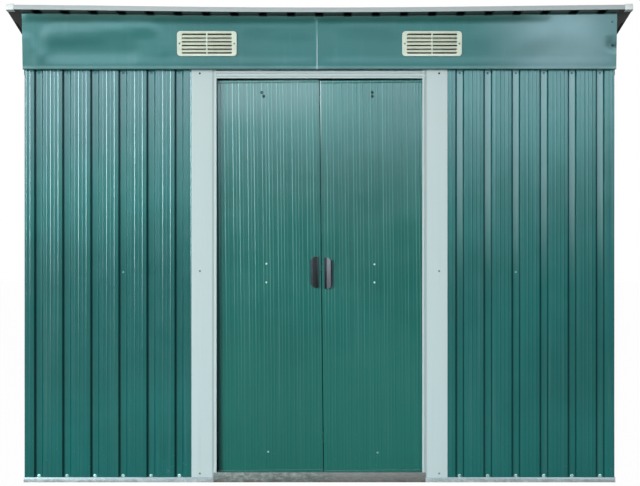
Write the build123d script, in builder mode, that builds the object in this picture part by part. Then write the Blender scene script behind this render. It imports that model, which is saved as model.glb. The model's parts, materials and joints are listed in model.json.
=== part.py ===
from build123d import *
import os
from math import atan, cos, radians, sin, sqrt, tan

# Metal storage shed with a single-slope roof and two sliding doors, in millimetres.
# +X runs to the right along the front, +Y from the front to the rear, +Z up.
# The origin is on the ground, below the middle of the roof's outline.

# Overall size
total_height = 1828.0
roof_fall = 228.0
wall_width = 2268.0
wall_depth = 1188.0
wall_head_gap = 1.8
front_overhang = 85.0
rear_overhang = 47.0
side_overhang = 56.0

# Roll-formed sheet: narrow valleys between wide flats, with small stiffening ribs on each flat
sheet = 0.6
sheet_pitch = 108.0
valley_floor = 23.0
valley_flank = 6.0
valley_depth = 10.0
rib_count = 4
rib_spacing = 14.6
rib_width = 3.6
rib_height = 1.2

# Folded rails, posts and braces
rail_sheet = 1.2
base_proud = 3.5
base_lip_height = 19.0
base_upstand = 52.0
base_flange = 26.0
anchor_radius = 3.5
anchor_inset = 234.0
rail_height = 30.0
rail_depth = 25.0
post_leg = 30.0
brace_height = 30.0
brace_depth = 12.0
brace_centre_height = 808.0

# Doorway
doorway_half = 396.0
jamb_width = 96.0
jamb_sheet = 1.0
groove_inset = 8.0
groove_width = 11.0
groove_step = 1.5
groove_depth = 2.0
jamb_lap = 36.0
door_post_inset = 16.0
door_post_width = 36.0
sill_lap = 11.5
sill_height = 38.0
sill_proud = 4.0
sill_depth = 22.0
cover_lap = 11.0
cover_drop = 5.0
cover_height = 28.0
cover_step = 2.5
cover_band = 7.0
cover_bead = 6.0

# Sliding doors. The leaves hang out of plumb: their lean, in degrees, swings their lower ends to the right.
leaf_lap = 10.0
leaf_lean = 0.6
meeting_gap = 3.0
door_bottom_lap = 6.0
door_top_gap = 11.0
door_depth = 18.0
door_group_pitch = 57.0
door_rib_spacing = 12.3
door_rib_width = 3.6
door_rib_height = 1.0
hem_height = 12.0
top_channel_height = 60.0
middle_channel_height = 90.0
middle_channel_centre = 803.5
bottom_channel_height = 80.0

# Handles
handle_inset = 11.0
handle_width = 31.0
handle_height = 120.0
handle_centre_height = 805.0
handle_depth = 16.0
handle_corner = 14.0
handle_rim = 1.5
handle_rim_height = 8.0
grip_width = 7.5
grip_floor = 3.0
grip_edge = 7.0
ridge_width = 2.0
ridge_fall = 5.0

# Door track, rollers and floor guide
track_height = 30.0
ledge_slot = 6.0
hanger_plate = 2.0
hanger_width = 34.0
hanger_inset = 70.0
hanger_lap = 48.0
hanger_rise = 2.5
hanger_head = 4.0
roller_radius = 9.0
roller_width = 7.0
axle_radius = 3.0
axle_end = 1.5
guide_fin_height = 20.0
guide_flange = 24.0
guide_length = 40.0
guide_width = 12.0
guide_overlap = 11.0
guide_slot_gap = 1.0

# Front fascia and its vents
fascia_proud_bottom = 30.0
fascia_proud_top = 48.0
fascia_top_drop = 11.0
fascia_hem = 12.0
fascia_joint = -8.0
fascia_lap = 25.0
vent_x = 430.0
vent_drop = 6.0
vent_width = 228.0
vent_tall = 95.0
vent_corner = 13.0
vent_frame_depth = 5.0
vent_bevel = 1.5
louvre_width = 190.0
louvre_tall = 76.0
slat_count = 5
slat_spacing = 14.0
slat_chord = 10.0
slat_sheet = 1.8
slat_tilt = 40.0
slat_root = 1.0
mullion_width = 6.0
mullion_depth = 4.0
vent_hole_margin = 3.0

# Gables, roof beams, roof trims and corner caps
gable_lap = 20.0
beam_height = 30.0
beam_places = (230.0, 620.0)
roof_sheet_count = 3
trim_sheet = 0.8
trim_height = 20.0
trim_lip = 12.0
cap_wall = 1.2
cap_length = 30.0

# Clearances
fit_gap = 0.3
moving_gap = 5.0
roller_gap = 0.3
wheel_gap = 0.5

# Places worked out from the sizes above
roof_width = wall_width + 2 * side_overhang
roof_depth = wall_depth + front_overhang + rear_overhang
front_y = -roof_depth / 2 + front_overhang
rear_y = roof_depth / 2 - rear_overhang
wall_middle_y = (front_y + rear_y) / 2
side_x = wall_width / 2
rail_face = valley_depth + sheet + fit_gap
post_face = rail_face + rail_sheet + fit_gap
post_reach = post_face + post_leg
gable_face = side_x + rib_height + fit_gap

door_face = rail_face + brace_depth + moving_gap + door_rib_height
door_back = door_face + door_depth
door_middle = (door_face + door_back) / 2
leaf_outer = doorway_half + leaf_lap
leaf_inner = meeting_gap / 2
jamb_face = rib_height + fit_gap + jamb_sheet
jamb_return = rail_face + brace_depth
wall_door_edge = doorway_half + jamb_width - jamb_lap
sill_half = doorway_half + sill_lap
cover_half = doorway_half + cover_lap
wall_bottom = base_lip_height + fit_gap

# Planes of the four walls. Rail planes: X inward, Y up, Z along the wall.
rail_planes = {
    "front": Plane((0, front_y, 0), x_dir=(0, 1, 0), z_dir=(1, 0, 0)),
    "rear": Plane((0, rear_y, 0), x_dir=(0, -1, 0), z_dir=(-1, 0, 0)),
    "left": Plane((-side_x, wall_middle_y, 0), x_dir=(1, 0, 0), z_dir=(0, -1, 0)),
    "right": Plane((side_x, wall_middle_y, 0), x_dir=(-1, 0, 0), z_dir=(0, 1, 0)),
}
half_lengths = {
    "front": wall_width / 2,
    "rear": wall_width / 2,
    "left": wall_depth / 2,
    "right": wall_depth / 2,
}

# Plan planes of the four walls: X along the wall, Y inward, Z up.
plan_planes = {
    "front": Plane((0, front_y, 0), x_dir=(1, 0, 0), z_dir=(0, 0, 1)),
    "rear": Plane((0, rear_y, 0), x_dir=(-1, 0, 0), z_dir=(0, 0, 1)),
    "left": Plane((-side_x, wall_middle_y, 0), x_dir=(0, -1, 0), z_dir=(0, 0, 1)),
    "right": Plane((side_x, wall_middle_y, 0), x_dir=(0, 1, 0), z_dir=(0, 0, 1)),
}

# The roof slopes down from front to rear. Its own frame lies on the underside of the corner caps,
# at the front edge: X to the right, Y down the slope, Z square to the roof.
slope = atan(roof_fall / roof_depth)
cap_clear = cap_wall + fit_gap
cap_height = trim_height + 2 * cap_clear
roof_front_z = total_height - cap_height * cos(slope)
roof_plane = Plane((0, -roof_depth / 2, roof_front_z), x_dir=(1, 0, 0), z_dir=(0, sin(slope), cos(slope)))
roof_length = (roof_depth - cap_height * sin(slope)) / cos(slope)
pan_lift = cap_clear + trim_sheet + fit_gap


def roof_under(y):
    """Height of the underside of the roof's flat pans above a place y."""
    return roof_front_z - tan(slope) * (y + roof_depth / 2) + pan_lift / cos(slope)


# All the walls are as high as the roof leaves room for at the rear
wall_top = roof_under(rear_y) - wall_head_gap
track_bottom = wall_top - track_height
cover_top = wall_top - cover_drop
cover_bottom = cover_top - cover_height
door_bottom = sill_height - door_bottom_lap
door_top = track_bottom - door_top_gap


def save(part, name):
    """Label one finished piece and write it to its own file."""
    part.label = name
    export_step(part, "parts/" + name + ".step")


def folded(path, thickness):
    """Closed outline of folded sheet. Its visible face is the path and its body lies on the path's right."""
    normals = []
    for (u0, v0), (u1, v1) in zip(path, path[1:]):
        length = sqrt((u1 - u0) ** 2 + (v1 - v0) ** 2)
        normals.append(((v1 - v0) / length, (u0 - u1) / length))
    back = []
    for (u, v), (a, b), (c, d) in zip(path, normals[:1] + normals, normals + normals[-1:]):
        mitre = thickness / (1 + a * c + b * d)
        back.append((u + mitre * (a + c), v + mitre * (b + d)))
    return path + back[::-1]


def folded_bar(plane, path, thickness, start, end):
    """A bar of folded sheet, whose section lies in the plane, from start to end across it."""
    with BuildPart() as bar:
        with BuildSketch(plane.offset(start)):
            Polygon(*folded(path, thickness), align=None)
        extrude(amount=end - start)
    return bar.part


def mitred_bar(plane, path, thickness, half_length, cut_start=True, cut_end=True):
    """A folded bar of a rectangular ring, cut at 45 degrees where it meets the next bar."""
    overrun = max(0, -min(inward for inward, up in path)) + 1
    start = -half_length - (overrun if cut_start else 0)
    end = half_length + (overrun if cut_end else 0)
    with BuildPart() as bar:
        add(folded_bar(plane, path, thickness, start, end))
        if cut_start:
            cut = Plane((0, 0, -half_length), x_dir=(0, 1, 0), z_dir=(1, 0, -1))
            split(bisect_by=Plane(plane.location * cut.location), keep=Keep.BOTTOM)
        if cut_end:
            cut = Plane((0, 0, half_length), x_dir=(0, 1, 0), z_dir=(1, 0, 1))
            split(bisect_by=Plane(plane.location * cut.location), keep=Keep.BOTTOM)
    return bar.part


def valley_centres(length):
    """Places of the valleys along a wall: the nearest whole number of pitches, centred."""
    count = round(length / sheet_pitch)
    first = -(count - 1) * sheet_pitch / 2
    return [first + i * sheet_pitch for i in range(count)]


def ribbed_corners(centres, ribs=True):
    """Corners of a sheet's outer face, as (along, inward) pairs, half a pitch past the last valleys."""
    corners = []
    for flat in [centre - sheet_pitch / 2 for centre in centres] + [centres[-1] + sheet_pitch / 2]:
        for i in range(rib_count if ribs else 0):
            crest = flat + (i - (rib_count - 1) / 2) * rib_spacing
            corners += [(crest - rib_width / 2, 0), (crest, -rib_height), (crest + rib_width / 2, 0)]
        centre = flat + sheet_pitch / 2
        if flat < centres[-1]:
            foot = valley_floor / 2
            corners += [(centre - foot - valley_flank, 0), (centre - foot, valley_depth)]
            corners += [(centre + foot, valley_depth), (centre + foot + valley_flank, 0)]
    return corners


def inward_at(corners, along):
    """How far inward the sheet's face lies at a place along it."""
    for (u0, v0), (u1, v1) in zip(corners, corners[1:]):
        if u0 <= along <= u1:
            return v0 + (v1 - v0) * (along - u0) / (u1 - u0)
    return 0.0


def clipped(corners, start, end):
    """The same face between two places along it."""
    inside = [corner for corner in corners if start < corner[0] < end]
    return [(start, inward_at(corners, start))] + inside + [(end, inward_at(corners, end))]


def wall_sheet(wall, start, end):
    """A standing roll-formed sheet of one wall, from start to end along the wall."""
    corners = ribbed_corners(valley_centres(2 * half_lengths[wall]))
    with BuildPart() as panel:
        with BuildSketch(plan_planes[wall].offset(wall_bottom)):
            Polygon(*folded(clipped(corners, start, end), -sheet), align=None)
        extrude(amount=wall_top - wall_bottom)
    return panel.part


def mirrored(part):
    """The same piece on the other side of the shed's middle."""
    with BuildPart() as other:
        mirror(part, about=Plane.YZ)
    return other.part


os.makedirs("parts", exist_ok=True)

# Base rails: a lip that the wall sheets stand on, an upstand behind them and a flange on the ground
base_path = [
    (base_flange, 0),
    (-base_proud, 0),
    (-base_proud, base_lip_height),
    (rail_face, base_lip_height),
    (rail_face, base_upstand),
]
anchor_depth = (post_face + base_flange) / 2
anchor_x = side_x - anchor_inset
front_rail_end = sill_half + fit_gap


def base_rail(wall):
    """A whole base rail of one wall, with its anchor holes in the front and rear rails."""
    with BuildPart() as rail:
        add(mitred_bar(rail_planes[wall], base_path, rail_sheet, half_lengths[wall]))
        if wall in ("front", "rear"):
            inward = 1 if wall == "front" else -1
            edge_y = front_y if wall == "front" else rear_y
            with Locations((-anchor_x, edge_y + inward * anchor_depth), (anchor_x, edge_y + inward * anchor_depth)):
                Cylinder(anchor_radius, 4 * rail_sheet, mode=Mode.SUBTRACT)
    return rail.part


with BuildPart() as base_rail_front_right:
    add(base_rail("front"))
    split(bisect_by=Plane.YZ.offset(front_rail_end), keep=Keep.TOP)
save(base_rail_front_right.part, "base_rail_front_right")
save(mirrored(base_rail_front_right.part), "base_rail_front_left")
save(base_rail("rear"), "base_rail_rear")

with BuildPart() as base_rails_side:
    add(base_rail("left"))
    add(base_rail("right"))
save(base_rails_side.part, "base_rails_side")

# Door sill: a folded tread between the jambs behind a wider front plate
sill_tread_half = doorway_half - fit_gap
sill_path = [(-sill_proud, 0), (-sill_proud, sill_height), (sill_depth, sill_height), (sill_depth, 0)]
with BuildPart() as door_sill:
    add(folded_bar(rail_planes["front"], sill_path, rail_sheet, -sill_tread_half, sill_tread_half))
    with BuildSketch(plan_planes["front"]):
        with Locations((0, -sill_proud + rail_sheet / 2)):
            Rectangle(2 * sill_half, rail_sheet)
    extrude(amount=sill_height)
save(door_sill.part, "door_sill")

# Floor guide: an angle whose upright fin runs in the door guides' slots
guide_path = [
    (door_middle + guide_flange, 0),
    (door_middle - rail_sheet / 2, 0),
    (door_middle - rail_sheet / 2, guide_fin_height),
]
guide_half = side_x - base_flange - fit_gap
save(folded_bar(rail_planes["front"], guide_path, rail_sheet, -guide_half, guide_half), "door_floor_guide")

# Wall sheets. The front and rear sheets reach the corners and the side sheets stand between them.
save(wall_sheet("front", -side_x, -wall_door_edge), "front_wall_left")
save(wall_sheet("front", wall_door_edge, side_x), "front_wall_right")
side_sheet_half = wall_depth / 2 - sheet - fit_gap
save(wall_sheet("left", -side_sheet_half, side_sheet_half), "left_wall")
save(wall_sheet("right", -side_sheet_half, side_sheet_half), "right_wall")
rear_centres = valley_centres(wall_width)
rear_joint = rear_centres[len(rear_centres) // 2] + sheet_pitch / 2
save(wall_sheet("rear", -side_x, rear_joint), "rear_wall_right")
save(wall_sheet("rear", rear_joint, side_x), "rear_wall_left")

# Corner posts: angles inside the four corners
with BuildPart() as corner_posts:
    for side in (-1, 1):
        for edge_y, inward in ((front_y, 1), (rear_y, -1)):
            corner = [
                (post_face, post_face),
                (post_reach, post_face),
                (post_reach, post_face + rail_sheet),
                (post_face + rail_sheet, post_face + rail_sheet),
                (post_face + rail_sheet, post_reach),
                (post_face, post_reach),
            ]
            with BuildSketch(Plane.XY.offset(rail_sheet)):
                Polygon(*[(side * (side_x - a), edge_y + inward * b) for a, b in corner], align=None)
            extrude(amount=track_bottom - rail_sheet)
save(corner_posts.part, "corner_posts")

# Door posts: channels behind the jambs
post_start = doorway_half + door_post_inset
post_end = post_start + door_post_width
post_path = [
    (post_end, jamb_return),
    (post_end, post_face),
    (post_start, post_face),
    (post_start, jamb_return),
]
with BuildPart() as door_posts:
    with BuildSketch(plan_planes["front"].offset(rail_sheet)):
        Polygon(*folded(post_path, rail_sheet), align=None)
    extrude(amount=track_bottom - rail_sheet)
    mirror(about=Plane.YZ)
save(door_posts.part, "door_posts")

# Jambs: a wide face that dips towards a raised lip, and a return beside the doorway
groove = doorway_half + groove_inset
jamb_path = [
    (doorway_half + jamb_width, -jamb_face),
    (groove + groove_width, -jamb_face),
    (groove, -jamb_face + groove_depth),
    (groove - groove_step, -jamb_face),
    (doorway_half, -jamb_face),
    (doorway_half, jamb_return),
]
with BuildPart() as jamb_right:
    with BuildSketch(plan_planes["front"].offset(wall_bottom)):
        Polygon(*folded(jamb_path, jamb_sheet), align=None)
    extrude(amount=wall_top - wall_bottom)
    with BuildSketch(plan_planes["front"].offset(track_bottom - fit_gap)):
        with Locations((doorway_half, rail_face - fit_gap + jamb_return)):
            Rectangle(jamb_width, 2 * jamb_return)
    extrude(amount=track_height + 2 * fit_gap, mode=Mode.SUBTRACT)
save(jamb_right.part, "jamb_right")
save(mirrored(jamb_right.part), "jamb_left")

# Door track: a box section open below, with a ledge on each side of its slot
track_half_width = door_middle - rail_face
track_back = door_middle + track_half_width
track_path = [
    (door_middle - ledge_slot / 2, track_bottom),
    (rail_face, track_bottom),
    (rail_face, wall_top),
    (track_back, wall_top),
    (track_back, track_bottom),
    (door_middle + ledge_slot / 2, track_bottom),
]
track_half = side_x - rail_face
save(folded_bar(rail_planes["front"], track_path, rail_sheet, -track_half, track_half), "door_track")

# Head cover: a stepped strip that hides the track between the jambs
cover_face = jamb_face + fit_gap + jamb_sheet
cover_inset = cover_face - cover_step
cover_path = [
    (rail_face, cover_bottom),
    (-cover_face, cover_bottom),
    (-cover_face, cover_bottom + cover_bead),
    (-cover_inset, cover_bottom + cover_bead + cover_step),
    (-cover_inset, cover_top - cover_band - cover_step),
    (-cover_face, cover_top - cover_band),
    (-cover_face, cover_top),
    (rail_face - fit_gap, cover_top),
]
with BuildPart() as door_head_cover:
    add(folded_bar(rail_planes["front"], cover_path, jamb_sheet, -cover_half, cover_half))
    notch_depth = rail_face + jamb_face + fit_gap
    for side in (-1, 1):
        with Locations((
            side * (doorway_half - fit_gap + cover_half / 2),
            front_y - jamb_face - fit_gap + notch_depth,
            cover_top,
        )):
            Box(cover_half, 2 * notch_depth, 2 * wall_top, mode=Mode.SUBTRACT)
save(door_head_cover.part, "door_head_cover")

# Top rails along the sides and the rear. The rear rail's upper flange lies under the sloping roof.
rail_reach = rail_face + rail_depth
side_rail_path = [
    (rail_reach, track_bottom),
    (rail_face, track_bottom),
    (rail_face, wall_top),
    (rail_reach, wall_top),
]
side_rail_front = -wall_depth / 2 + track_back + fit_gap
side_rail_rear = wall_depth / 2 - rail_reach - fit_gap
with BuildPart() as top_rails_side:
    add(folded_bar(rail_planes["right"], side_rail_path, rail_sheet, side_rail_front, side_rail_rear))
    mirror(about=Plane.YZ)
save(top_rails_side.part, "top_rails_side")

rear_rail_path = [
    (rail_reach, track_bottom),
    (rail_face, track_bottom),
    (rail_face, roof_under(rear_y - rail_face) - fit_gap),
    (rail_reach, roof_under(rear_y - rail_reach) - fit_gap),
]
save(folded_bar(rail_planes["rear"], rear_rail_path, rail_sheet, -track_half, track_half), "top_rail_rear")

# Braces at half height, behind the valleys of every wall
brace_low = brace_centre_height - brace_height / 2
brace_high = brace_centre_height + brace_height / 2
brace_path = [
    (rail_face + brace_depth, brace_low),
    (rail_face, brace_low),
    (rail_face, brace_high),
    (rail_face + brace_depth, brace_high),
]
brace_end = side_x - post_reach - fit_gap
side_brace_end = wall_depth / 2 - post_reach - fit_gap
with BuildPart() as wall_braces:
    add(folded_bar(rail_planes["front"], brace_path, rail_sheet, post_end + fit_gap, brace_end))
    add(folded_bar(rail_planes["right"], brace_path, rail_sheet, -side_brace_end, side_brace_end))
    mirror(about=Plane.YZ)
    add(folded_bar(rail_planes["rear"], brace_path, rail_sheet, -brace_end, brace_end))
save(wall_braces.part, "wall_braces")

# Fascia: leans out from the top of the front wall to just below the roof's edge
front_rail_low = wall_top + fit_gap
fascia_bottom = front_rail_low - 2 * (sheet + fit_gap)
fascia_top_y = front_y - fascia_proud_top
fascia_top = roof_under(fascia_top_y) - fascia_top_drop
fascia_lean = atan((fascia_proud_top - fascia_proud_bottom) / (fascia_top - fascia_bottom))


def fascia_out(height):
    """How far the fascia's outer face stands out from the front wall at a height."""
    return fascia_proud_bottom + tan(fascia_lean) * (height - fascia_bottom)


fascia_sheet_run = sheet / cos(fascia_lean)
fascia_layer = fascia_sheet_run + fit_gap
fascia_half = gable_face + sheet
vent_height = (fascia_bottom + fascia_top) / 2 - vent_drop
vent_tilted = (0, -cos(fascia_lean), -sin(fascia_lean))


def fascia_panel(layer, start, end, vent_at):
    """One fascia panel with its vent opening. The layer says how far it lies behind the outer face."""
    low = fascia_bottom + layer
    path = [
        (-fascia_out(low) + layer + fascia_hem, low),
        (-fascia_out(low) + layer, low),
        (-fascia_out(fascia_top) + layer, fascia_top),
    ]
    with BuildPart() as panel:
        add(folded_bar(rail_planes["front"], path, sheet, start, end))
        centre = (vent_at, front_y - fascia_out(vent_height) + layer, vent_height)
        with BuildSketch(Plane(centre, x_dir=(1, 0, 0), z_dir=vent_tilted)):
            Rectangle(louvre_width + 2 * vent_hole_margin, louvre_tall + 2 * vent_hole_margin)
        extrude(amount=fascia_hem, both=True, mode=Mode.SUBTRACT)
    return panel.part


save(fascia_panel(0, -fascia_half, fascia_joint, -vent_x), "fascia_left")
save(fascia_panel(fascia_layer, fascia_joint - fascia_lap, fascia_half, vent_x), "fascia_right")


def vent(layer, vent_at):
    """A louvred vent: a rounded frame on the fascia with tilted slats and a middle bar."""
    centre = (vent_at, front_y - fascia_out(vent_height) + layer, vent_height)
    face = Plane(centre, x_dir=(1, 0, 0), z_dir=vent_tilted).offset(fit_gap)
    with BuildPart() as grille:
        with BuildSketch(face):
            RectangleRounded(vent_width, vent_tall, vent_corner)
            Rectangle(louvre_width, louvre_tall, mode=Mode.SUBTRACT)
        extrude(amount=vent_frame_depth)
        front_face = grille.faces().sort_by(Axis((0, 0, 0), vent_tilted))[-1]
        chamfer(front_face.outer_wire().edges(), vent_bevel)
        for i in range(slat_count):
            height = (i - (slat_count - 1) / 2) * slat_spacing
            with Locations(face.offset(vent_frame_depth / 2)):
                with Locations((0, height, 0)):
                    Box(louvre_width + 2 * slat_root, slat_sheet, slat_chord, rotation=(slat_tilt, 0, 0))
        with BuildSketch(face):
            Rectangle(mullion_width, louvre_tall + 2 * slat_root)
        extrude(amount=mullion_depth)
    return grille.part


save(vent(0, -vent_x), "vent_left")
save(vent(fascia_layer, vent_x), "vent_right")

# Front top rail and front roof beam: channels that the fascia is screwed to
gable_reach = side_x + rib_height
rail_back = 2 * fascia_layer
front_rail_high = front_rail_low + rail_height
front_rail_path = [
    (rail_depth, front_rail_low),
    (-fascia_out(front_rail_low) + rail_back, front_rail_low),
    (-fascia_out(front_rail_high) + rail_back, front_rail_high),
    (rail_depth, front_rail_high),
]
save(folded_bar(rail_planes["front"], front_rail_path, rail_sheet, -gable_reach, gable_reach), "top_rail_front")

front_beam_high = roof_under(fascia_top_y) - fit_gap
front_beam_low = fascia_top - beam_height
beam_web_top = -fascia_out(front_beam_high) + rail_back
beam_inner = rail_depth - fascia_proud_top
front_beam_path = [
    (beam_inner, front_beam_low),
    (-fascia_out(front_beam_low) + rail_back, front_beam_low),
    (beam_web_top, roof_under(front_y + beam_web_top) - fit_gap),
    (beam_inner, roof_under(front_y + beam_inner) - fit_gap),
]


def beam_path(inward):
    """Section of a roof beam whose upper flange lies under the sloping roof."""
    top = roof_under(front_y + inward) - fit_gap
    return [
        (inward + rail_depth, top - beam_height),
        (inward, top - beam_height),
        (inward, top),
        (inward + rail_depth, roof_under(front_y + inward + rail_depth) - fit_gap),
    ]


with BuildPart() as roof_beams:
    for path in [front_beam_path] + [beam_path(place) for place in beam_places]:
        add(folded_bar(rail_planes["front"], path, rail_sheet, -gable_reach, gable_reach))
save(roof_beams.part, "roof_beams")

# Gables: flat panels that close the sides between the walls and the sloping roof
front_edge_gap = fascia_sheet_run + fit_gap + fascia_layer
gable_front_low = front_y - fascia_out(front_rail_low) + front_edge_gap
gable_front_high = front_y - fascia_out(front_beam_high) + front_edge_gap
gable_corners = [
    (rear_y, wall_top - gable_lap),
    (rear_y, roof_under(rear_y) - fit_gap),
    (gable_front_high, roof_under(gable_front_high) - fit_gap),
    (gable_front_low, front_rail_low),
    (front_y, front_rail_low),
    (front_y, wall_top - gable_lap),
]
with BuildPart() as gable_right:
    with BuildSketch(Plane.YZ.offset(gable_face)):
        Polygon(*gable_corners, align=None)
    extrude(amount=sheet)
save(gable_right.part, "gable_right")
save(mirrored(gable_right.part), "gable_left")

# Roof sheets: flat pans with raised ribs that run down the slope
trim_clear = cap_clear + trim_sheet + fit_gap
roof_sheet_half = roof_width / 2 - trim_clear
roof_sheet_rear = roof_plane.from_local_coords((0, roof_length - trim_clear, pan_lift))
roof_section_plane = Plane(roof_sheet_rear, x_dir=(1, 0, 0), z_dir=(0, -cos(slope), sin(slope)))
roof_ribs = valley_centres(wall_width)
ribs_each = len(roof_ribs) // roof_sheet_count
joints = [roof_ribs[i * ribs_each] - sheet_pitch / 2 for i in range(1, roof_sheet_count)]
roof_edges = [-roof_sheet_half] + joints + [roof_sheet_half]
roof_names = ["roof_sheet_left", "roof_sheet_middle", "roof_sheet_right"]
roof_corners = ribbed_corners(roof_ribs, ribs=False)
for name, start, end in zip(roof_names, roof_edges, roof_edges[1:]):
    with BuildPart() as roof_sheet:
        with BuildSketch(roof_section_plane):
            Polygon(*folded(clipped(roof_corners, start, end), -sheet), align=None)
        extrude(amount=roof_length - 2 * trim_clear)
    save(roof_sheet.part, name)

# Roof trims: channels round the roof's four edges, mitred inside the corner caps
trim_path = [(trim_lip, 0), (0, 0), (0, trim_height), (trim_lip, trim_height)]
trim_half_x = roof_width / 2 - cap_clear
trim_half_y = roof_length / 2 - cap_clear


def roof_edge_plane(edge):
    """Plane of one roof edge in the roof's slope: X inward, Y square to the roof, Z along the edge."""
    flat_planes = {
        "front": Plane((0, -trim_half_y, 0), x_dir=(0, 1, 0), z_dir=(1, 0, 0)),
        "rear": Plane((0, trim_half_y, 0), x_dir=(0, -1, 0), z_dir=(-1, 0, 0)),
        "left": Plane((-trim_half_x, 0, 0), x_dir=(1, 0, 0), z_dir=(0, -1, 0)),
        "right": Plane((trim_half_x, 0, 0), x_dir=(-1, 0, 0), z_dir=(0, 1, 0)),
    }
    centre = Location((0, roof_length / 2, cap_clear))
    return Plane(roof_plane.location * centre * flat_planes[edge].location)


save(mitred_bar(roof_edge_plane("front"), trim_path, trim_sheet, trim_half_x), "roof_trim_front")
save(mitred_bar(roof_edge_plane("rear"), trim_path, trim_sheet, trim_half_x), "roof_trim_rear")
with BuildPart() as roof_trims_side:
    add(mitred_bar(roof_edge_plane("left"), trim_path, trim_sheet, trim_half_y))
    add(mitred_bar(roof_edge_plane("right"), trim_path, trim_sheet, trim_half_y))
save(roof_trims_side.part, "roof_trims_side")

# Corner caps: moulded shoes over the mitres, open towards the roof
with BuildPart() as roof_corner_caps:
    for side in (-1, 1):
        for edge, inward in ((0, 1), (roof_length, -1)):
            with BuildSketch(roof_plane):
                with Locations((side * (roof_width - cap_length) / 2, edge + inward * cap_length / 2)):
                    Rectangle(cap_length, cap_length)
            extrude(amount=cap_height)
            with BuildSketch(roof_plane.offset(cap_wall)):
                with Locations((
                    side * ((roof_width - cap_length) / 2 - cap_wall),
                    edge + inward * (cap_length / 2 + cap_wall),
                )):
                    Rectangle(cap_length, cap_length)
            extrude(amount=cap_height - 2 * cap_wall, mode=Mode.SUBTRACT)
save(roof_corner_caps.part, "roof_corner_caps")

# Right door leaf. The left leaf is its mirror image, and both then lean the same way.
leaf_middle = (leaf_inner + leaf_outer) / 2
leaf_width = leaf_outer - leaf_inner
lean_drop = leaf_width / 2 * sin(radians(leaf_lean))


def door_corners():
    """Corners of the leaf's front face in plan, from a folded edge across the ribs to the other."""
    corners = [(leaf_inner, door_back), (leaf_inner, door_face)]
    groups = int(leaf_width // door_group_pitch)
    for group in range(groups):
        centre = leaf_middle + (group - (groups - 1) / 2) * door_group_pitch
        for i in range(rib_count):
            crest = centre + (i - (rib_count - 1) / 2) * door_rib_spacing
            corners += [
                (crest - door_rib_width / 2, door_face),
                (crest, door_face - door_rib_height),
                (crest + door_rib_width / 2, door_face),
            ]
    return corners + [(leaf_outer, door_face), (leaf_outer, door_back)]


def right_door_sheet():
    """The ribbed leaf with folded edges and a flat hem across its top and bottom."""
    with BuildPart() as leaf:
        with BuildSketch(plan_planes["front"].offset(door_bottom)):
            Polygon(*folded(door_corners(), -sheet), align=None)
        extrude(amount=door_top - door_bottom)
        hem_thickness = door_rib_height + sheet
        for low in (door_bottom, door_top - hem_height):
            with BuildSketch(plan_planes["front"].offset(low)):
                with Locations((leaf_middle, door_face - door_rib_height + hem_thickness / 2)):
                    Rectangle(leaf_width, hem_thickness)
            extrude(amount=hem_height)
    return leaf.part


def door_channel(low, high):
    """A channel across the back of the leaf, open towards its sheet."""
    front = door_face + sheet + fit_gap
    path = [(front, high), (door_back, high), (door_back, low), (front, low)]
    start = leaf_inner + sheet + fit_gap
    end = leaf_outer - sheet - fit_gap
    return folded_bar(rail_planes["front"], path, rail_sheet, start, end)


def right_door_frame():
    """The three channels that stiffen the leaf."""
    with BuildPart() as frame:
        add(door_channel(door_bottom, door_bottom + bottom_channel_height))
        half = middle_channel_height / 2
        add(door_channel(middle_channel_centre - half, middle_channel_centre + half))
        add(door_channel(door_top - top_channel_height, door_top))
    return frame.part


def right_door_handle():
    """A pull whose face falls from an outer ridge to a finger slot beside the meeting edge."""
    back = door_face - door_rib_height
    inner = handle_inset
    outer = handle_inset + handle_width
    low = handle_centre_height - handle_height / 2
    high = handle_centre_height + handle_height / 2
    slot_end = inner + handle_rim + grip_width
    ridge_end = outer - ridge_fall
    with BuildPart() as handle:
        with BuildSketch(Plane((0, front_y + back, 0), x_dir=(1, 0, 0), z_dir=(0, -1, 0))):
            outline = [
                (inner, low),
                (outer - handle_corner, low),
                (outer, low + handle_corner),
                (outer, high - handle_corner),
                (outer - handle_corner, high),
                (inner, high),
            ]
            Polygon(*outline, align=None)
        extrude(amount=handle_depth)
        with BuildSketch(plan_planes["front"].offset(low)):
            section = [
                (inner, back),
                (inner, back - handle_rim_height),
                (inner + handle_rim, back - handle_rim_height),
                (inner + handle_rim, back - grip_floor),
                (slot_end, back - grip_floor),
                (slot_end, back - grip_edge),
                (ridge_end - ridge_width, back - handle_depth),
                (ridge_end, back - handle_depth),
                (outer, back - handle_depth + ridge_fall),
                (outer, back),
            ]
            Polygon(*section, align=None)
        extrude(amount=handle_height, mode=Mode.INTERSECT)
    return handle.part


hanger_places = (leaf_inner + hanger_inset, leaf_outer - hanger_inset)
roller_height = track_bottom + rail_sheet + roller_gap + roller_radius
hanger_back = door_back + fit_gap
hanger_turn = door_top + hanger_rise
plate_front = door_middle - hanger_plate / 2
plate_back = door_middle + hanger_plate / 2


def right_door_hangers():
    """Two cranked plates behind the leaf that rise into the track, each bored for its roller's axle."""
    path = [
        (hanger_back, door_top - hanger_lap),
        (hanger_back, hanger_turn),
        (plate_front, hanger_turn),
        (plate_front, roller_height + axle_radius + hanger_head),
    ]
    with BuildPart() as hangers:
        for place in hanger_places:
            half = hanger_width / 2
            add(folded_bar(rail_planes["front"], path, hanger_plate, place - half, place + half))
            bore = Plane((place, front_y + plate_front, roller_height), x_dir=(1, 0, 0), z_dir=(0, 1, 0))
            with BuildSketch(bore):
                Circle(axle_radius + roller_gap)
            extrude(amount=hanger_plate, mode=Mode.SUBTRACT)
    return hangers.part


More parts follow.
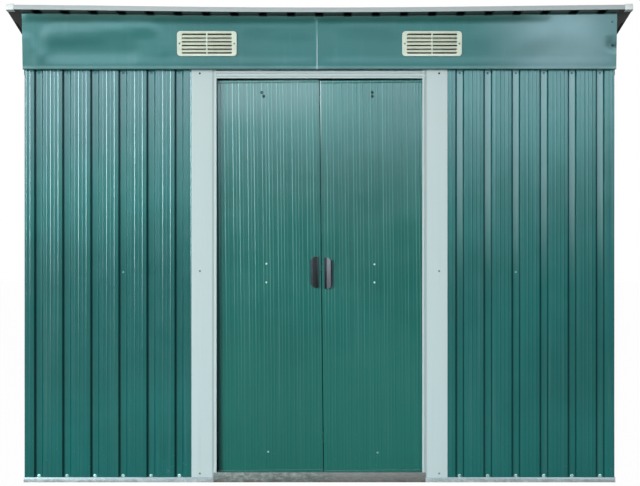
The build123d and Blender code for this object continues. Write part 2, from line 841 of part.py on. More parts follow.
def right_door_rollers():
    """A roller behind each hanger plate, turned in one piece with the axle that passes through it."""
    back = plate_back + wheel_gap
    profile = [
        (0, plate_front - axle_end),
        (axle_radius, plate_front - axle_end),
        (axle_radius, back),
        (roller_radius, back),
        (roller_radius, back + roller_width),
        (0, back + roller_width),
    ]
    with BuildPart() as rollers:
        for place in hanger_places:
            with BuildSketch(Plane((place, front_y, roller_height), x_dir=(1, 0, 0), z_dir=(0, 0, 1))):
                Polygon(*profile, align=None)
            revolve(axis=Axis((place, front_y, roller_height), (0, 1, 0)))
    return rollers.part


def right_door_guides():
    """Two slotted blocks under the leaf that straddle the floor guide's fin."""
    low = guide_fin_height - guide_overlap
    slot_half = rail_sheet / 2 + guide_slot_gap
    slot_top = guide_fin_height + moving_gap + lean_drop
    top = door_bottom - fit_gap
    half = guide_width / 2
    section = [
        (door_middle - half, low),
        (door_middle - slot_half, low),
        (door_middle - slot_half, slot_top),
        (door_middle + slot_half, slot_top),
        (door_middle + slot_half, low),
        (door_middle + half, low),
        (door_middle + half, top),
        (door_middle - half, top),
    ]
    with BuildPart() as guides:
        for place in hanger_places:
            with BuildSketch(rail_planes["front"].offset(place - guide_length / 2)):
                Polygon(*section, align=None)
            extrude(amount=guide_length)
    return guides.part


def leaning(part, side):
    """The same piece swung with its leaf about the middle of the leaf's top edge."""
    pivot = Location((side * leaf_middle, 0, door_top))
    swing = pivot * Location((0, 0, 0), (0, -leaf_lean, 0)) * pivot.inverse()
    with BuildPart() as swung:
        with Locations(swing):
            add(part)
    return swung.part


leaf_pieces = {
    "sheet": right_door_sheet(),
    "frame": right_door_frame(),
    "handle": right_door_handle(),
    "guides": right_door_guides(),
}
for piece, part in leaf_pieces.items():
    save(leaning(part, 1), "right_door_" + piece)
    save(leaning(mirrored(part), -1), "left_door_" + piece)

# The hangers and rollers stay plumb in the track
track_pieces = {"hangers": right_door_hangers(), "rollers": right_door_rollers()}
for piece, part in track_pieces.items():
    save(part, "right_door_" + piece)
    save(mirrored(part), "left_door_" + piece)
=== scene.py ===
import json
from math import atan2, ceil, cos, floor, pi, radians, sin

import bmesh
import bpy
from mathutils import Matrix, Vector

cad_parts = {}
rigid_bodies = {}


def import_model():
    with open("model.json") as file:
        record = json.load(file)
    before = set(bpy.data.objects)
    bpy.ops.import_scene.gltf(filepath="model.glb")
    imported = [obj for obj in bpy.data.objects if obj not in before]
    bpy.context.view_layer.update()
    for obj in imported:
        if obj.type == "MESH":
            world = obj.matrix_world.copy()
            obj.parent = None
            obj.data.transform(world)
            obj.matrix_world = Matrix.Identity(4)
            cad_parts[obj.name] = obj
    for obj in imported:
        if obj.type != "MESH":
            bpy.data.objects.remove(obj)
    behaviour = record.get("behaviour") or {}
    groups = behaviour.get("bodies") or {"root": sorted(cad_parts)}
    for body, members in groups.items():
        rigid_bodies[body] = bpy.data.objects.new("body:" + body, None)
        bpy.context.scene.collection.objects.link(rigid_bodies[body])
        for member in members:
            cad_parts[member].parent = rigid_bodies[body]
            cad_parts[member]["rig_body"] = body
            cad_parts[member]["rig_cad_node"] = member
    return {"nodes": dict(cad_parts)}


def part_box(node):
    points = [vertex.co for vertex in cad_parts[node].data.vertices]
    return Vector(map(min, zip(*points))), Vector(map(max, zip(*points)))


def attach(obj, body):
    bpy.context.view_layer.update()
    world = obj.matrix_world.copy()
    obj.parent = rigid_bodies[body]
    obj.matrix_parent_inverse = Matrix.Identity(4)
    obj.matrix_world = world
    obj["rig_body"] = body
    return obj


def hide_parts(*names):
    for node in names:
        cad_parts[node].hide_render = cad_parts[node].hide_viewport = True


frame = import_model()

bl_info = {
    "name": "Sliding Door Shed",
    "version": (1, 0, 0),
    "blender": (4, 5, 0),
    "location": "3D View > Sidebar > Shed",
    "description": "Models and finishes the sheets, doors, trims and screws of a small metal shed",
    "category": "Object",
}


# Places in the frame, in metres


def low(node):
    """Lowest corner of a CAD node."""
    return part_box(node)[0]


def high(node):
    """Highest corner of a CAD node."""
    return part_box(node)[1]


RIB = 0.0012  # how far the crisp ribs stand proud of the wall's face
GAP = 0.0003  # between two sheets that would touch
FASCIA_LEAN = 0.018  # how far the fascia's top leans out over its foot
NOTCH_PITCH = 0.1073  # between the open ends of the roof's ribs
FRONT_Y = low("front_wall_left").y + RIB
REAR_Y = high("rear_wall_left").y - RIB
SIDE_X = high("front_wall_right").x
WALL_TOP = high("front_wall_right").z
WALL_LOW = low("front_wall_right").z
MIDDLE_Y = (FRONT_Y + REAR_Y) / 2


# Sizes and colours that a user would change


class SheetSizes(bpy.types.PropertyGroup):
    pitch: bpy.props.FloatProperty(
        name="Pitch", description="Distance between the valleys of a sheet", default=0.108, min=0.05, unit="LENGTH")
    floor: bpy.props.FloatProperty(
        name="Valley floor", description="Width of a valley's floor", default=0.023, min=0.005, unit="LENGTH")
    flank: bpy.props.FloatProperty(
        name="Valley flank", description="Width of a valley's sloping flank", default=0.006, min=0.001, unit="LENGTH")
    depth: bpy.props.FloatProperty(
        name="Valley depth", description="Depth of a valley", default=0.010, min=0.001, unit="LENGTH")
    rib_spacing: bpy.props.FloatProperty(
        name="Rib spacing", description="Distance between the small ribs", default=0.0146, min=0.005, unit="LENGTH")
    rib_width: bpy.props.FloatProperty(
        name="Rib width", description="Width of a small rib", default=0.0046, min=0.001, unit="LENGTH")
    crisp_rib: bpy.props.FloatProperty(
        name="Crisp rib", description="Height of the two sharper ribs of a flat", default=RIB, min=0.0002,
        unit="LENGTH")
    soft_rib: bpy.props.FloatProperty(
        name="Soft rib", description="Height of the two flatter ribs of a flat", default=0.0007, min=0.0002,
        unit="LENGTH")
    bend: bpy.props.FloatProperty(
        name="Bend", description="Rounding of the bends", default=0.0006, min=0.0001, unit="LENGTH")
    thickness: bpy.props.FloatProperty(
        name="Sheet", description="Thickness of the sheet", default=0.0006, min=0.0003, unit="LENGTH")
    waves: bpy.props.FloatProperty(
        name="Waves", description="How far the sheet is out of flat", default=0.0010, min=0.0, unit="LENGTH")


class DoorSizes(bpy.types.PropertyGroup):
    group_pitch: bpy.props.FloatProperty(
        name="Group pitch", description="Distance between the groups of ribs", default=0.057, min=0.02,
        unit="LENGTH")
    rib_spacing: bpy.props.FloatProperty(
        name="Rib spacing", description="Distance between the ribs of a group", default=0.0123, min=0.005,
        unit="LENGTH")
    rib_height: bpy.props.FloatProperty(
        name="Rib height", description="Height of a rib", default=0.001, min=0.0002, unit="LENGTH")
    hem: bpy.props.FloatProperty(
        name="Hem", description="Height of the flat hem at the top and bottom", default=0.012, min=0.004,
        unit="LENGTH")
    lift: bpy.props.FloatProperty(
        name="Lift", description="How far the leaf's top stands above its solid, under the head cover",
        default=0.0045, min=0.0, max=0.006, unit="LENGTH")
    lean: bpy.props.FloatProperty(
        name="Lean", description="How far the leaves hang out of plumb", default=radians(0.6), unit="ROTATION")
    screw: bpy.props.FloatProperty(
        name="Screw", description="Radius of the door's screw heads", default=0.0040, min=0.001, unit="LENGTH")


class PullSizes(bpy.types.PropertyGroup):
    inset: bpy.props.FloatProperty(
        name="Inset", description="Distance of the pull from the doorway's middle", default=0.011, min=0.004,
        unit="LENGTH")
    width: bpy.props.FloatProperty(
        name="Width", description="Width of the pull", default=0.031, min=0.02, unit="LENGTH")
    height: bpy.props.FloatProperty(
        name="Height", description="Height of the pull", default=0.120, min=0.05, unit="LENGTH")
    middle: bpy.props.FloatProperty(
        name="Middle", description="Height of the pull's middle above the ground", default=0.805, min=0.1,
        unit="LENGTH")
    depth: bpy.props.FloatProperty(
        name="Depth", description="How far the pull stands out", default=0.016, min=0.01, unit="LENGTH")
    corner: bpy.props.FloatProperty(
        name="Corner", description="Size of the cut corners", default=0.014, min=0.002, unit="LENGTH")
    slot: bpy.props.FloatProperty(
        name="Finger slot", description="Width of the finger slot's floor", default=0.0075, min=0.003,
        unit="LENGTH")


class VentSizes(bpy.types.PropertyGroup):
    width: bpy.props.FloatProperty(
        name="Width", description="Width of the vent's frame", default=0.228, min=0.1, unit="LENGTH")
    height: bpy.props.FloatProperty(
        name="Height", description="Height of the vent's frame", default=0.095, min=0.04, unit="LENGTH")
    corner: bpy.props.FloatProperty(
        name="Corner", description="Radius of the frame's corners", default=0.013, min=0.002, unit="LENGTH")
    depth: bpy.props.FloatProperty(
        name="Depth", description="Depth of the frame", default=0.005, min=0.002, unit="LENGTH")
    opening_width: bpy.props.FloatProperty(
        name="Louvre width", description="Width of the louvred opening", default=0.190, min=0.05, unit="LENGTH")
    opening_height: bpy.props.FloatProperty(
        name="Louvre height", description="Height of the louvred opening", default=0.076, min=0.03, unit="LENGTH")
    slats: bpy.props.IntProperty(name="Slats", description="Number of slats", default=5, min=1, max=12)
    slat_spacing: bpy.props.FloatProperty(
        name="Slat spacing", description="Distance between the slats", default=0.014, min=0.005, unit="LENGTH")


class Finishes(bpy.types.PropertyGroup):
    green: bpy.props.FloatVectorProperty(
        name="Green paint", description="Colour of the painted sheets", subtype="COLOR", size=3, min=0, max=1,
        default=(0.004, 0.124, 0.115))
    white: bpy.props.FloatVectorProperty(
        name="White paint", description="Colour of the jambs and trims", subtype="COLOR", size=3, min=0, max=1,
        default=(0.535, 0.660, 0.670))
    zinc: bpy.props.FloatVectorProperty(
        name="Zinc", description="Colour of galvanised steel", subtype="COLOR", size=3, min=0, max=1,
        default=(0.42, 0.47, 0.475))
    stain: bpy.props.FloatVectorProperty(
        name="Stain", description="Colour of the weathered sill", subtype="COLOR", size=3, min=0, max=1,
        default=(0.13, 0.14, 0.125))
    ivory: bpy.props.FloatVectorProperty(
        name="Ivory plastic", description="Colour of the vents", subtype="COLOR", size=3, min=0, max=1,
        default=(0.58, 0.63, 0.51))
    black: bpy.props.FloatVectorProperty(
        name="Black plastic", description="Colour of the handles", subtype="COLOR", size=3, min=0, max=1,
        default=(0.021, 0.028, 0.034))
    cream: bpy.props.FloatVectorProperty(
        name="White plastic", description="Colour of the corner caps and rollers", subtype="COLOR", size=3,
        min=0, max=1, default=(0.74, 0.78, 0.77))


class StudioSizes(bpy.types.PropertyGroup):
    eye_height: bpy.props.FloatProperty(
        name="Eye height", description="Height of the camera", default=0.92, min=0.1, unit="LENGTH")
    distance: bpy.props.FloatProperty(
        name="Distance", description="Distance of the camera from the front wall", default=6.0, min=1.0,
        unit="LENGTH")
    lens: bpy.props.FloatProperty(
        name="Lens", description="Focal length of the camera in millimetres", default=87.75, min=20.0)
    key: bpy.props.FloatProperty(
        name="Key", description="Radiance of the lamp that lights the front from the left", default=18.3, min=0.0)
    sky: bpy.props.FloatProperty(
        name="Sky", description="Radiance of the low sky that the front reflects", default=6.8, min=0.0)
    side: bpy.props.FloatProperty(
        name="Side", description="Radiance of the sky at the left that the ribs reflect", default=36.0, min=0.0)
    horizon: bpy.props.FloatProperty(
        name="Horizon", description="Height of the dark band along the horizon that the paint reflects", default=2.0,
        min=0.1, unit="LENGTH")
    ambient: bpy.props.FloatProperty(
        name="Ambient", description="Light from all round", default=0.28, min=0.0)


# Shader maths and materials


class Wire:
    """A node's output. Sums of wires and numbers add their Math nodes."""

    def __init__(self, recipe, socket):
        self.recipe = recipe
        self.socket = socket

    def math(self, operation, *values):
        return self.recipe.node("ShaderNodeMath", {"operation": operation}, dict(enumerate(values)))

    def __add__(self, other):
        return self.math("ADD", self, other)

    def __sub__(self, other):
        return self.math("SUBTRACT", self, other)

    def __rsub__(self, other):
        return self.math("SUBTRACT", other, self)

    def __mul__(self, other):
        return self.math("MULTIPLY", self, other)

    def __mod__(self, other):
        return self.math("FLOORED_MODULO", self, other)

    def __lt__(self, other):
        return self.math("LESS_THAN", self, other)

    def __gt__(self, other):
        return self.math("GREATER_THAN", self, other)

    def __abs__(self):
        return self.math("ABSOLUTE", self)

    __radd__ = __add__
    __rmul__ = __mul__

    def out(self, name):
        """Another output of the same node."""
        return Wire(self.recipe, self.socket.node.outputs[name])


class Recipe:
    """A finish, or the world's light, that is being mixed: one method adds every node."""

    def __init__(self, name, library="materials"):
        self.owner = getattr(bpy.data, library).new(name)
        self.owner.use_nodes = True
        self.nodes = self.owner.node_tree.nodes
        self.links = self.owner.node_tree.links
        self.nodes.clear()

    def node(self, kind, settings=None, inputs=None, output=0):
        """Adds a node with its settings, its ramp stops and the values or wires of its sockets."""
        made = self.nodes.new(kind)
        for key, value in (settings or {}).items():
            if key == "stops":
                ramp = made.color_ramp.elements
                while len(ramp) < len(value):
                    ramp.new(0.5)
                for element, (position, shade) in zip(ramp, value):
                    element.position = position
                    element.color = (*shade, 1) if isinstance(shade, tuple) else (shade, shade, shade, 1)
            else:
                setattr(made, key, value)
        for key, value in (inputs or {}).items():
            socket = made.inputs[key]
            if isinstance(value, Wire):
                self.links.new(value.socket, socket)
            else:
                socket.default_value = value
        return Wire(self, made.outputs[output]) if made.outputs else None

    def place(self):
        """The surface's own place on the shed."""
        return self.node("ShaderNodeTexCoord", output="Object")

    def axes(self, place):
        """The three coordinates of a place."""
        split = self.node("ShaderNodeSeparateXYZ", inputs={0: place})
        return split, split.out("Y"), split.out("Z")

    def stretched(self, place, scale):
        """The place, stretched along its axes."""
        return self.node("ShaderNodeMapping", inputs={0: place, "Scale": scale})

    def noise(self, place, scale, detail=3.0, rough=0.5, bend=0.0):
        """Cloudy variation from 0 to 1."""
        return self.node("ShaderNodeTexNoise", inputs={
            "Vector": place, "Scale": scale, "Detail": detail, "Roughness": rough, "Distortion": bend})

    def ramp(self, value, *stops):
        """A value turned into a shade by stops."""
        return self.node("ShaderNodeValToRGB", {"stops": stops}, {0: value})

    def step(self, value, start, end):
        """0 below start, 1 above end, and a smooth rise between them."""
        return self.node("ShaderNodeMapRange", {"interpolation_type": "SMOOTHSTEP"}, {
            "Value": value, "From Min": start, "From Max": end})

    def band(self, value, start, rise, fall, end):
        """1 from rise to fall, 0 outside start and end, and smooth between them."""
        return self.step(value, start, rise) * self.step(value, end, fall)

    def blend(self, mask, first, second):
        """Two colours mixed by a mask."""
        def shade(value):
            return (*value, 1) if isinstance(value, tuple) else value
        return self.node("ShaderNodeMix", {"data_type": "RGBA"}, {0: mask, 6: shade(first), 7: shade(second)}, 2)

    def underside(self):
        """1 on faces that look down, 0 on the others."""
        return self.step(self.axes(self.node("ShaderNodeNewGeometry", output="Normal"))[2], -0.35, -0.75)

    def bump(self, height, distance, strength=1.0, under=None):
        """A bump from a height, on top of another bump if one is given."""
        inputs = {"Height": height, "Distance": distance, "Strength": strength}
        if under is not None:
            inputs["Normal"] = under
        return self.node("ShaderNodeBump", {}, inputs)

    def skin(self, place, grain, peel, waves, dent):
        """The relief of a painted sheet: its fine peel on top of its shallow dents."""
        fine = self.bump(self.noise(place, grain, 2.0), 0.0002, peel)
        return self.bump(self.noise(place, waves, 2.0), dent[0], dent[1], fine)

    def coat(self, inputs):
        """The shader that wears everything above."""
        shader = self.node("ShaderNodeBsdfPrincipled", {}, inputs)
        self.node("ShaderNodeOutputMaterial", {}, {"Surface": shader})
        return self.owner


def dark(colour, factor):
    """A colour made darker or lighter."""
    return tuple(min(1.0, part * factor) for part in colour)


# Shades that the finishes are mixed with. Many are painted light, shade, shadow or sheen.

# pale streaks: partly weathering, partly painted sheen
STREAK_AND_SHEEN = (0.07, 0.20, 0.20)
DUST = (0.20, 0.21, 0.17)
# Painted shade and sheen of the walls
UPPER_SHADE = (0.018, 0.075, 0.076)
LEFT_FLANK_SHADE = (0.001, 0.028, 0.027)
RIGHT_FLANK_SHADE = (0.001, 0.022, 0.020)
VALLEY_SHEEN = (0.20, 0.34, 0.35)
HIGHLIGHT_LINE = (0.12, 0.30, 0.30)
# Painted light and shade of the fascia, and the pale line at its joint
FASCIA_SHEEN = (0.27, 0.42, 0.46)
EAVE_SHADOW = (0.001, 0.055, 0.042)
LIT_LIP = (0.24, 0.40, 0.40)
FOOT_SHADOW = (0.001, 0.040, 0.038)
DENT_SHADE = (0.001, 0.050, 0.050)
PALE_EDGE = (0.55, 0.66, 0.69)
# Painted shade at the rib ends, and the sheets' backing coat painted shaded and lit
NOTCH = (0.001, 0.006, 0.006)
SHEET_BACK_IN_SHADE = (0.015, 0.020, 0.017)
LIT_EAVE_BACK = (0.050, 0.085, 0.078)
# Painted shade and light of the pulls
SLOT_SHADE = (0.002, 0.005, 0.006)
LIT_FACE = (0.13, 0.12, 0.15)
# Painted light and shade of the door leaves
LOW_LEAF_LIGHT = (0.010, 0.162, 0.130)
LEAF_SHEEN = (0.26, 0.34, 0.35)
LEAF_SHADE = (0.001, 0.060, 0.058)
LEAF_MIDDLE_SHADE = (0.001, 0.060, 0.052)
JAMB_SHADOW = (0.001, 0.026, 0.026)
LIT_EDGE = (0.45, 0.60, 0.60)
CREST_HIGHLIGHT = (0.060, 0.265, 0.235)
# Painted shade of the white paint
WHITE_CREASE_SHADE = (0.20, 0.26, 0.26)
WHITE_TOP_SHADE = (0.50, 0.590, 0.590)
SPECK = (0.26, 0.28, 0.25)
TRIM_GREY = (0.32, 0.33, 0.34)
# Painted shade under the trims
TRIM_UNDER_SHADE = (0.022, 0.024, 0.020)
BLOOM = (0.66, 0.70, 0.70)
DULL_FLANGE = (0.22, 0.28, 0.29)
# Painted shade on the front of the roof beam
BEAM_FRONT_SHADE = (0.050, 0.085, 0.080)
BEAM_FRONT_SHADE_BLOOM = (0.085, 0.120, 0.112)
PALE_STAIN = (0.20, 0.21, 0.19)
BARE_STAIN = (0.33, 0.34, 0.31)
SCUFF = (0.25, 0.26, 0.24)
WARM_STAIN = (0.175, 0.165, 0.150)
RUST = (0.10, 0.050, 0.030)
DIRT = (0.12, 0.10, 0.08)


def green_paint(name, gloss, worn, mark, tint=(1.0, 1.0, 1.0)):
    """Glossy green paint with dust and pale streaks, partly painted sheen. Its mark adds what only some of the sheets
    show.
    """
    green = tuple(part * share for part, share in zip(bpy.context.scene.shed_finishes.green, tint))
    recipe = Recipe(name)
    place = recipe.place()
    axes = recipe.axes(place)
    clouds = recipe.noise(place, 2.2, 4.0)
    streaks = recipe.noise(recipe.stretched(place, (34, 34, 0.9)), 1.0, 4.0, 0.6)
    colour = recipe.blend(recipe.step(clouds, 0.3, 0.7), dark(green, 0.90), dark(green, 1.10))
    # pale streaks: partly weathering, partly painted sheen
    colour = recipe.blend(recipe.step(streaks, 0.50, 0.74) * (0.22 * worn), colour, STREAK_AND_SHEEN)
    dust = recipe.step(recipe.noise(place, 60.0, 6.0, 0.7), 0.62, 0.78) * recipe.step(axes[2], 0.30, 0.02)
    colour = recipe.blend(dust * (0.14 * worn), colour, DUST)
    rough = gloss + recipe.noise(place, 14.0, 4.0) * 0.10 + dust * 0.3
    return recipe.coat({
        "Base Color": mark(recipe, axes, colour), "Roughness": rough,
        "Normal": recipe.skin(place, 420.0, 0.05, 9.0, (0.0016, 0.24)), "Specular IOR Level": 0.48})


def valleyed(axis, middle, turn):
    """A wall's painted light: shade in the valleys' flanks, at middle height and at the top left, and sheen and
    highlight lines, mostly at right.
    """
    def mark(recipe, axes, colour):
        finishes, sheet = bpy.context.scene.shed_finishes, bpy.context.scene.shed_sheet
        run, z = axes["xy".index(axis)], axes[2]
        across = ((run - middle) * turn + sheet.pitch * 0.5) % sheet.pitch
        left = (sheet.pitch - sheet.floor) / 2
        right = (sheet.pitch + sheet.floor) / 2
        flank = sheet.flank
        left_flank = recipe.band(across, left - flank * 1.3, left - flank * 0.9, left + flank * 0.2,
                                 left + flank * 0.8)
        right_flank = recipe.band(across, right - flank * 0.2, right + flank * 0.2, right + flank * 0.7,
                                  right + flank * 1.0)
        floor_band = recipe.band(across, left, left + 0.002, right - 0.002, right)
        right_half = recipe.step(run * turn, -0.1, 0.1)
        lower = recipe.band(z, 0.20, 0.50, 0.75, 1.05)
        upper = recipe.step(z, 1.0, 1.6)
        # painted shade across the wall's middle height, less in the right half
        colour = recipe.blend(lower * (0.26 - right_half * 0.16), colour, dark(tuple(finishes.green), 0.35))
        # painted shade at the top of the left half
        colour = recipe.blend(upper * (1.0 - right_half) * 0.35, colour, UPPER_SHADE)
        # painted shade in the valleys' left flanks
        colour = recipe.blend(left_flank * (0.80 - right_half * 0.35), colour, LEFT_FLANK_SHADE)
        # painted sheen on the valley floors of the right half
        colour = recipe.blend(floor_band * right_half * recipe.step(z, 0.74, 1.20) * 0.50, colour, VALLEY_SHEEN)
        # fine painted highlight lines, mostly in the right half
        highlight_lines = recipe.noise(recipe.stretched(recipe.place(), (130, 130, 0.4)), 1.0, 2.0, 0.6)
        highlight_lines = recipe.step(highlight_lines, 0.52, 0.66) * recipe.step(z, 0.74, 1.22) * (right_half * 0.8 + 0.2)
        colour = recipe.blend(highlight_lines * 0.34, colour, HIGHLIGHT_LINE)
        # painted shade in the valleys' right flanks
        return recipe.blend(right_flank * (right_half * 0.45 + 0.20), colour, RIGHT_FLANK_SHADE)
    return mark


def fascia_light_and_edge(recipe, axes, colour):
    """Fascia paint with painted light: sheen at the right end, shadow under the eave and at the foot, a lit lip, a
    shaded dent and a pale joint edge.
    """
    x, _, z = axes
    patchy = recipe.noise(recipe.place(), 5.0, 3.0)
    # painted sheen near the right end
    sheen_patch = recipe.band(x, 0.56, 0.95, 0.98, 1.28) * (patchy * 0.5 + 0.70)
    colour = recipe.blend(sheen_patch * 0.50, colour, FASCIA_SHEEN)
    # painted shadow under the eave
    eave = recipe.step(z, 1.752, 1.776) * recipe.step(abs(x + 0.12), 1.06, 0.86)
    colour = recipe.blend(eave * (patchy * 0.6 + 0.45), colour, EAVE_SHADOW)
    # painted light along the lip above the foot
    colour = recipe.blend(recipe.band(z, 1.5870, 1.5905, 1.595, 1.601) * (patchy * 0.44), colour, LIT_LIP)
    # painted shadow along the foot
    colour = recipe.blend(recipe.step(z, 1.5900, 1.5870) * 0.6, colour, FOOT_SHADOW)
    # painted shade in the dent at the right end
    dent_mask = recipe.step(x, 1.090, 1.116) * recipe.step(abs(z - 1.678), 0.026, 0.004)
    colour = recipe.blend(dent_mask * 0.75, colour, DENT_SHADE)
    # a pale line along the joint's edge
    edge = recipe.step(abs(x + 0.0092), 0.0018, 0.0008) * recipe.step(z, 1.75, 1.65)
    return recipe.blend(edge * 0.6, colour, PALE_EDGE)


def notched(recipe, x, colour):
    """Painted shade in the open ends of the roof's ribs."""
    across = (x + 20.5 * NOTCH_PITCH) % NOTCH_PITCH
    return recipe.blend(recipe.band(across, 0.036, 0.040, 0.067, 0.071) * 0.95, colour, NOTCH)


def backed(recipe, axes, colour):
    """A dull backing coat on the roof sheets' undersides, painted dark as shade, and painted lighter in front of the
    beam.
    """
    x, y, _ = axes
    eave = recipe.step(y, FRONT_Y - 0.040, FRONT_Y - 0.046) * recipe.step(abs(x), SIDE_X + 0.01, SIDE_X)
    # the backing coat: painted shade behind the beam, painted light in front of it
    back = recipe.blend(eave, SHEET_BACK_IN_SHADE, notched(recipe, x, LIT_EAVE_BACK))
    return recipe.blend(recipe.underside(), colour, back)


def pull_painted_light(recipe, axes, colour):
    """Painted shade in the finger slots of the pulls, and painted light on the right pull's face."""
    x = axes[0]
    slot = recipe.band(abs(x - 0.0078), 0.0118, 0.0128, 0.0196, 0.0204)
    face = recipe.band(x, 0.0278, 0.0290, 0.0400, 0.0450)
    # painted shade in the slots, painted light on the right pull's face
    return recipe.blend(slot, recipe.blend(face * 0.75, colour, LIT_FACE), SLOT_SHADE)


def leaf_painted_light(recipe, axes, colour):
    """The leaves' painted light and shade, and painted highlights along their ribs, more on some than on others."""
    door = bpy.context.scene.shed_door
    x, _, z = axes
    near, far = upright()
    half = (far.x - near.x) / 2
    middle_x = (near.x + far.x) / 2
    side = (x > 0.0) * (2 * middle_x) - middle_x
    run = (x - side) * cos(door.lean) + (far.z - z) * (-sin(door.lean))
    groups = int((far.x - near.x) / door.group_pitch)
    inside = (run + door.group_pitch * groups / 2 + door.group_pitch * 4) % door.group_pitch
    cell = inside - (door.group_pitch - 4 * door.rib_spacing) / 2
    ribbed = (cell > 0.0) * (cell < 4 * door.rib_spacing)
    crest = recipe.step(abs((cell + door.rib_spacing) % door.rib_spacing - door.rib_spacing / 2), 0.0021, 0.0006)
    some = recipe.step(recipe.noise(recipe.stretched(recipe.place(), (60, 60, 0.15)), 1.0, 2.0), 0.35, 0.68)
    lit = recipe.step(run, 0.0048 - half, 0.0034 - half) * (x > 0.0) * recipe.step(z, 1.25, 1.50)
    # painted in turn: lighter low down, sheen at the top left, shade at the top right and middle, the jamb's shadow,
    # a lit edge, rib highlights
    for mask, shade in (
        (recipe.step(z, 0.75, 0.05) * 0.42, LOW_LEAF_LIGHT),
        (recipe.step(z, 1.34, 1.52) * recipe.step(x, 0.15, -0.10) * 0.22, LEAF_SHEEN),
        (recipe.step(z, 0.90, 1.60) * recipe.step(x, 0.0, 0.30) * 0.42, LEAF_SHADE),
        (recipe.band(z, 0.68, 0.92, 1.20, 1.44) * 0.26, LEAF_MIDDLE_SHADE),
        (recipe.step(run, 0.024 - half, 0.003 - half) * (x < 0.0) * 0.70, JAMB_SHADOW),
        (lit * 0.75, LIT_EDGE),
        (crest * ribbed * (some * 0.85 + 0.15) * recipe.step(z, 0.05, 1.15), CREST_HIGHLIGHT),
    ):
        colour = recipe.blend(mask, colour, shade)
    return colour


def creased(recipe, axes, colour):
    """Painted shade along the jambs' dips and the head cover's steps."""
    inner = low("jamb_right").x
    across, z = abs(axes[0]), axes[2]
    dip = recipe.band(across, inner + 0.0075, inner + 0.0100, inner + 0.0150, inner + 0.0185)
    # painted shade in the jambs' dips
    colour = recipe.blend(dip * 0.48, colour, WHITE_CREASE_SHADE)
    bottom, top = low("door_head_cover").z, high("door_head_cover").z
    # painted shade along the head cover's steps
    steps = recipe.band(z, bottom + 0.0052, bottom + 0.0068, bottom + 0.0086, bottom + 0.0110) \
        + recipe.band(z, top - 0.0110, top - 0.0090, top - 0.0072, top - 0.0055)
    return recipe.blend(steps * recipe.step(across, inner + 0.002, inner) * 0.36, colour, WHITE_CREASE_SHADE)


def white_paint(name, trim=False):
    """Satin white paint with a cool tint, painted shade that deepens upwards, faint runs and a little dirt. Trims are
    greyer, shaded underneath.
    """
    white = tuple(bpy.context.scene.shed_finishes.white)
    recipe = Recipe(name)
    place = recipe.place()
    axes = recipe.axes(place)
    runs = recipe.noise(recipe.stretched(place, (60, 60, 1.4)), 1.0, 5.0, 0.6)
    specks = recipe.step(recipe.noise(place, 90.0, 6.0, 0.75), 0.64, 0.74)
    # painted shade, deeper towards the top
    colour = recipe.blend(recipe.step(axes[2], 0.0, 1.7), white, WHITE_TOP_SHADE)
    colour = recipe.blend(recipe.step(runs, 0.45, 0.85) * 0.35, colour, dark(white, 0.82))
    colour = recipe.blend(specks * 0.30, colour, SPECK)
    if trim:
        # trims: greyer, with painted shade on their undersides
        colour = recipe.blend(recipe.underside(), recipe.blend(0.60, colour, TRIM_GREY), TRIM_UNDER_SHADE)
    else:
        colour = creased(recipe, axes, colour)
    return recipe.coat({
        "Base Color": colour, "Roughness": 0.46 + recipe.noise(place, 22.0, 4.0) * 0.14,
        "Normal": recipe.skin(place, 380.0, 0.15, 7.0, (0.0014, 0.30)), "Specular IOR Level": 0.16})


def zinc(name, front_shaded=False, shine=1.0):
    """Galvanised steel: crystals of zinc with white bloom. The beam's front is painted dark as shade, and reflects
    little.
    """
    metal = tuple(bpy.context.scene.shed_finishes.zinc)
    recipe = Recipe(name)
    place = recipe.place()
    x, y, z = recipe.axes(place)
    crystals = recipe.node("ShaderNodeTexVoronoi", {"feature": "F1"}, {"Vector": place, "Scale": 95.0}, "Color")
    tone = recipe.node("ShaderNodeSeparateColor", inputs={0: crystals})
    colour = recipe.blend(tone, dark(metal, 0.86), dark(metal, 1.14))
    bloom = recipe.step(recipe.noise(place, 11.0, 6.0, 0.65), 0.50, 0.75)
    colour = recipe.blend(bloom * 0.45, colour, BLOOM)
    if shine < 1:
        colour = recipe.blend(recipe.step(z, 0.006, 0.018) * 0.6, colour, DULL_FLANGE)
    bare = 1.0
    # the beam's front: painted shade with the rib ends' shade, and almost no reflection
    if front_shaded:
        front = recipe.step(y, FRONT_Y - 0.012, FRONT_Y - 0.030)
        colour = recipe.blend(front, colour, notched(recipe, x, recipe.blend(bloom, BEAM_FRONT_SHADE, BEAM_FRONT_SHADE_BLOOM)))
        bare = 1 - front
    relief = recipe.bump(tone + recipe.noise(place, 300.0, 3.0) * 0.5, 0.0002, 0.22)
    return recipe.coat({
        "Base Color": colour, "Roughness": 0.34 + tone * 0.10 + bloom * 0.25, "Normal": relief,
        "Metallic": (1 - bloom * 0.6) * bare * shine, "Specular IOR Level": 0.5 * shine * (0.1 if front_shaded else 1.0)})


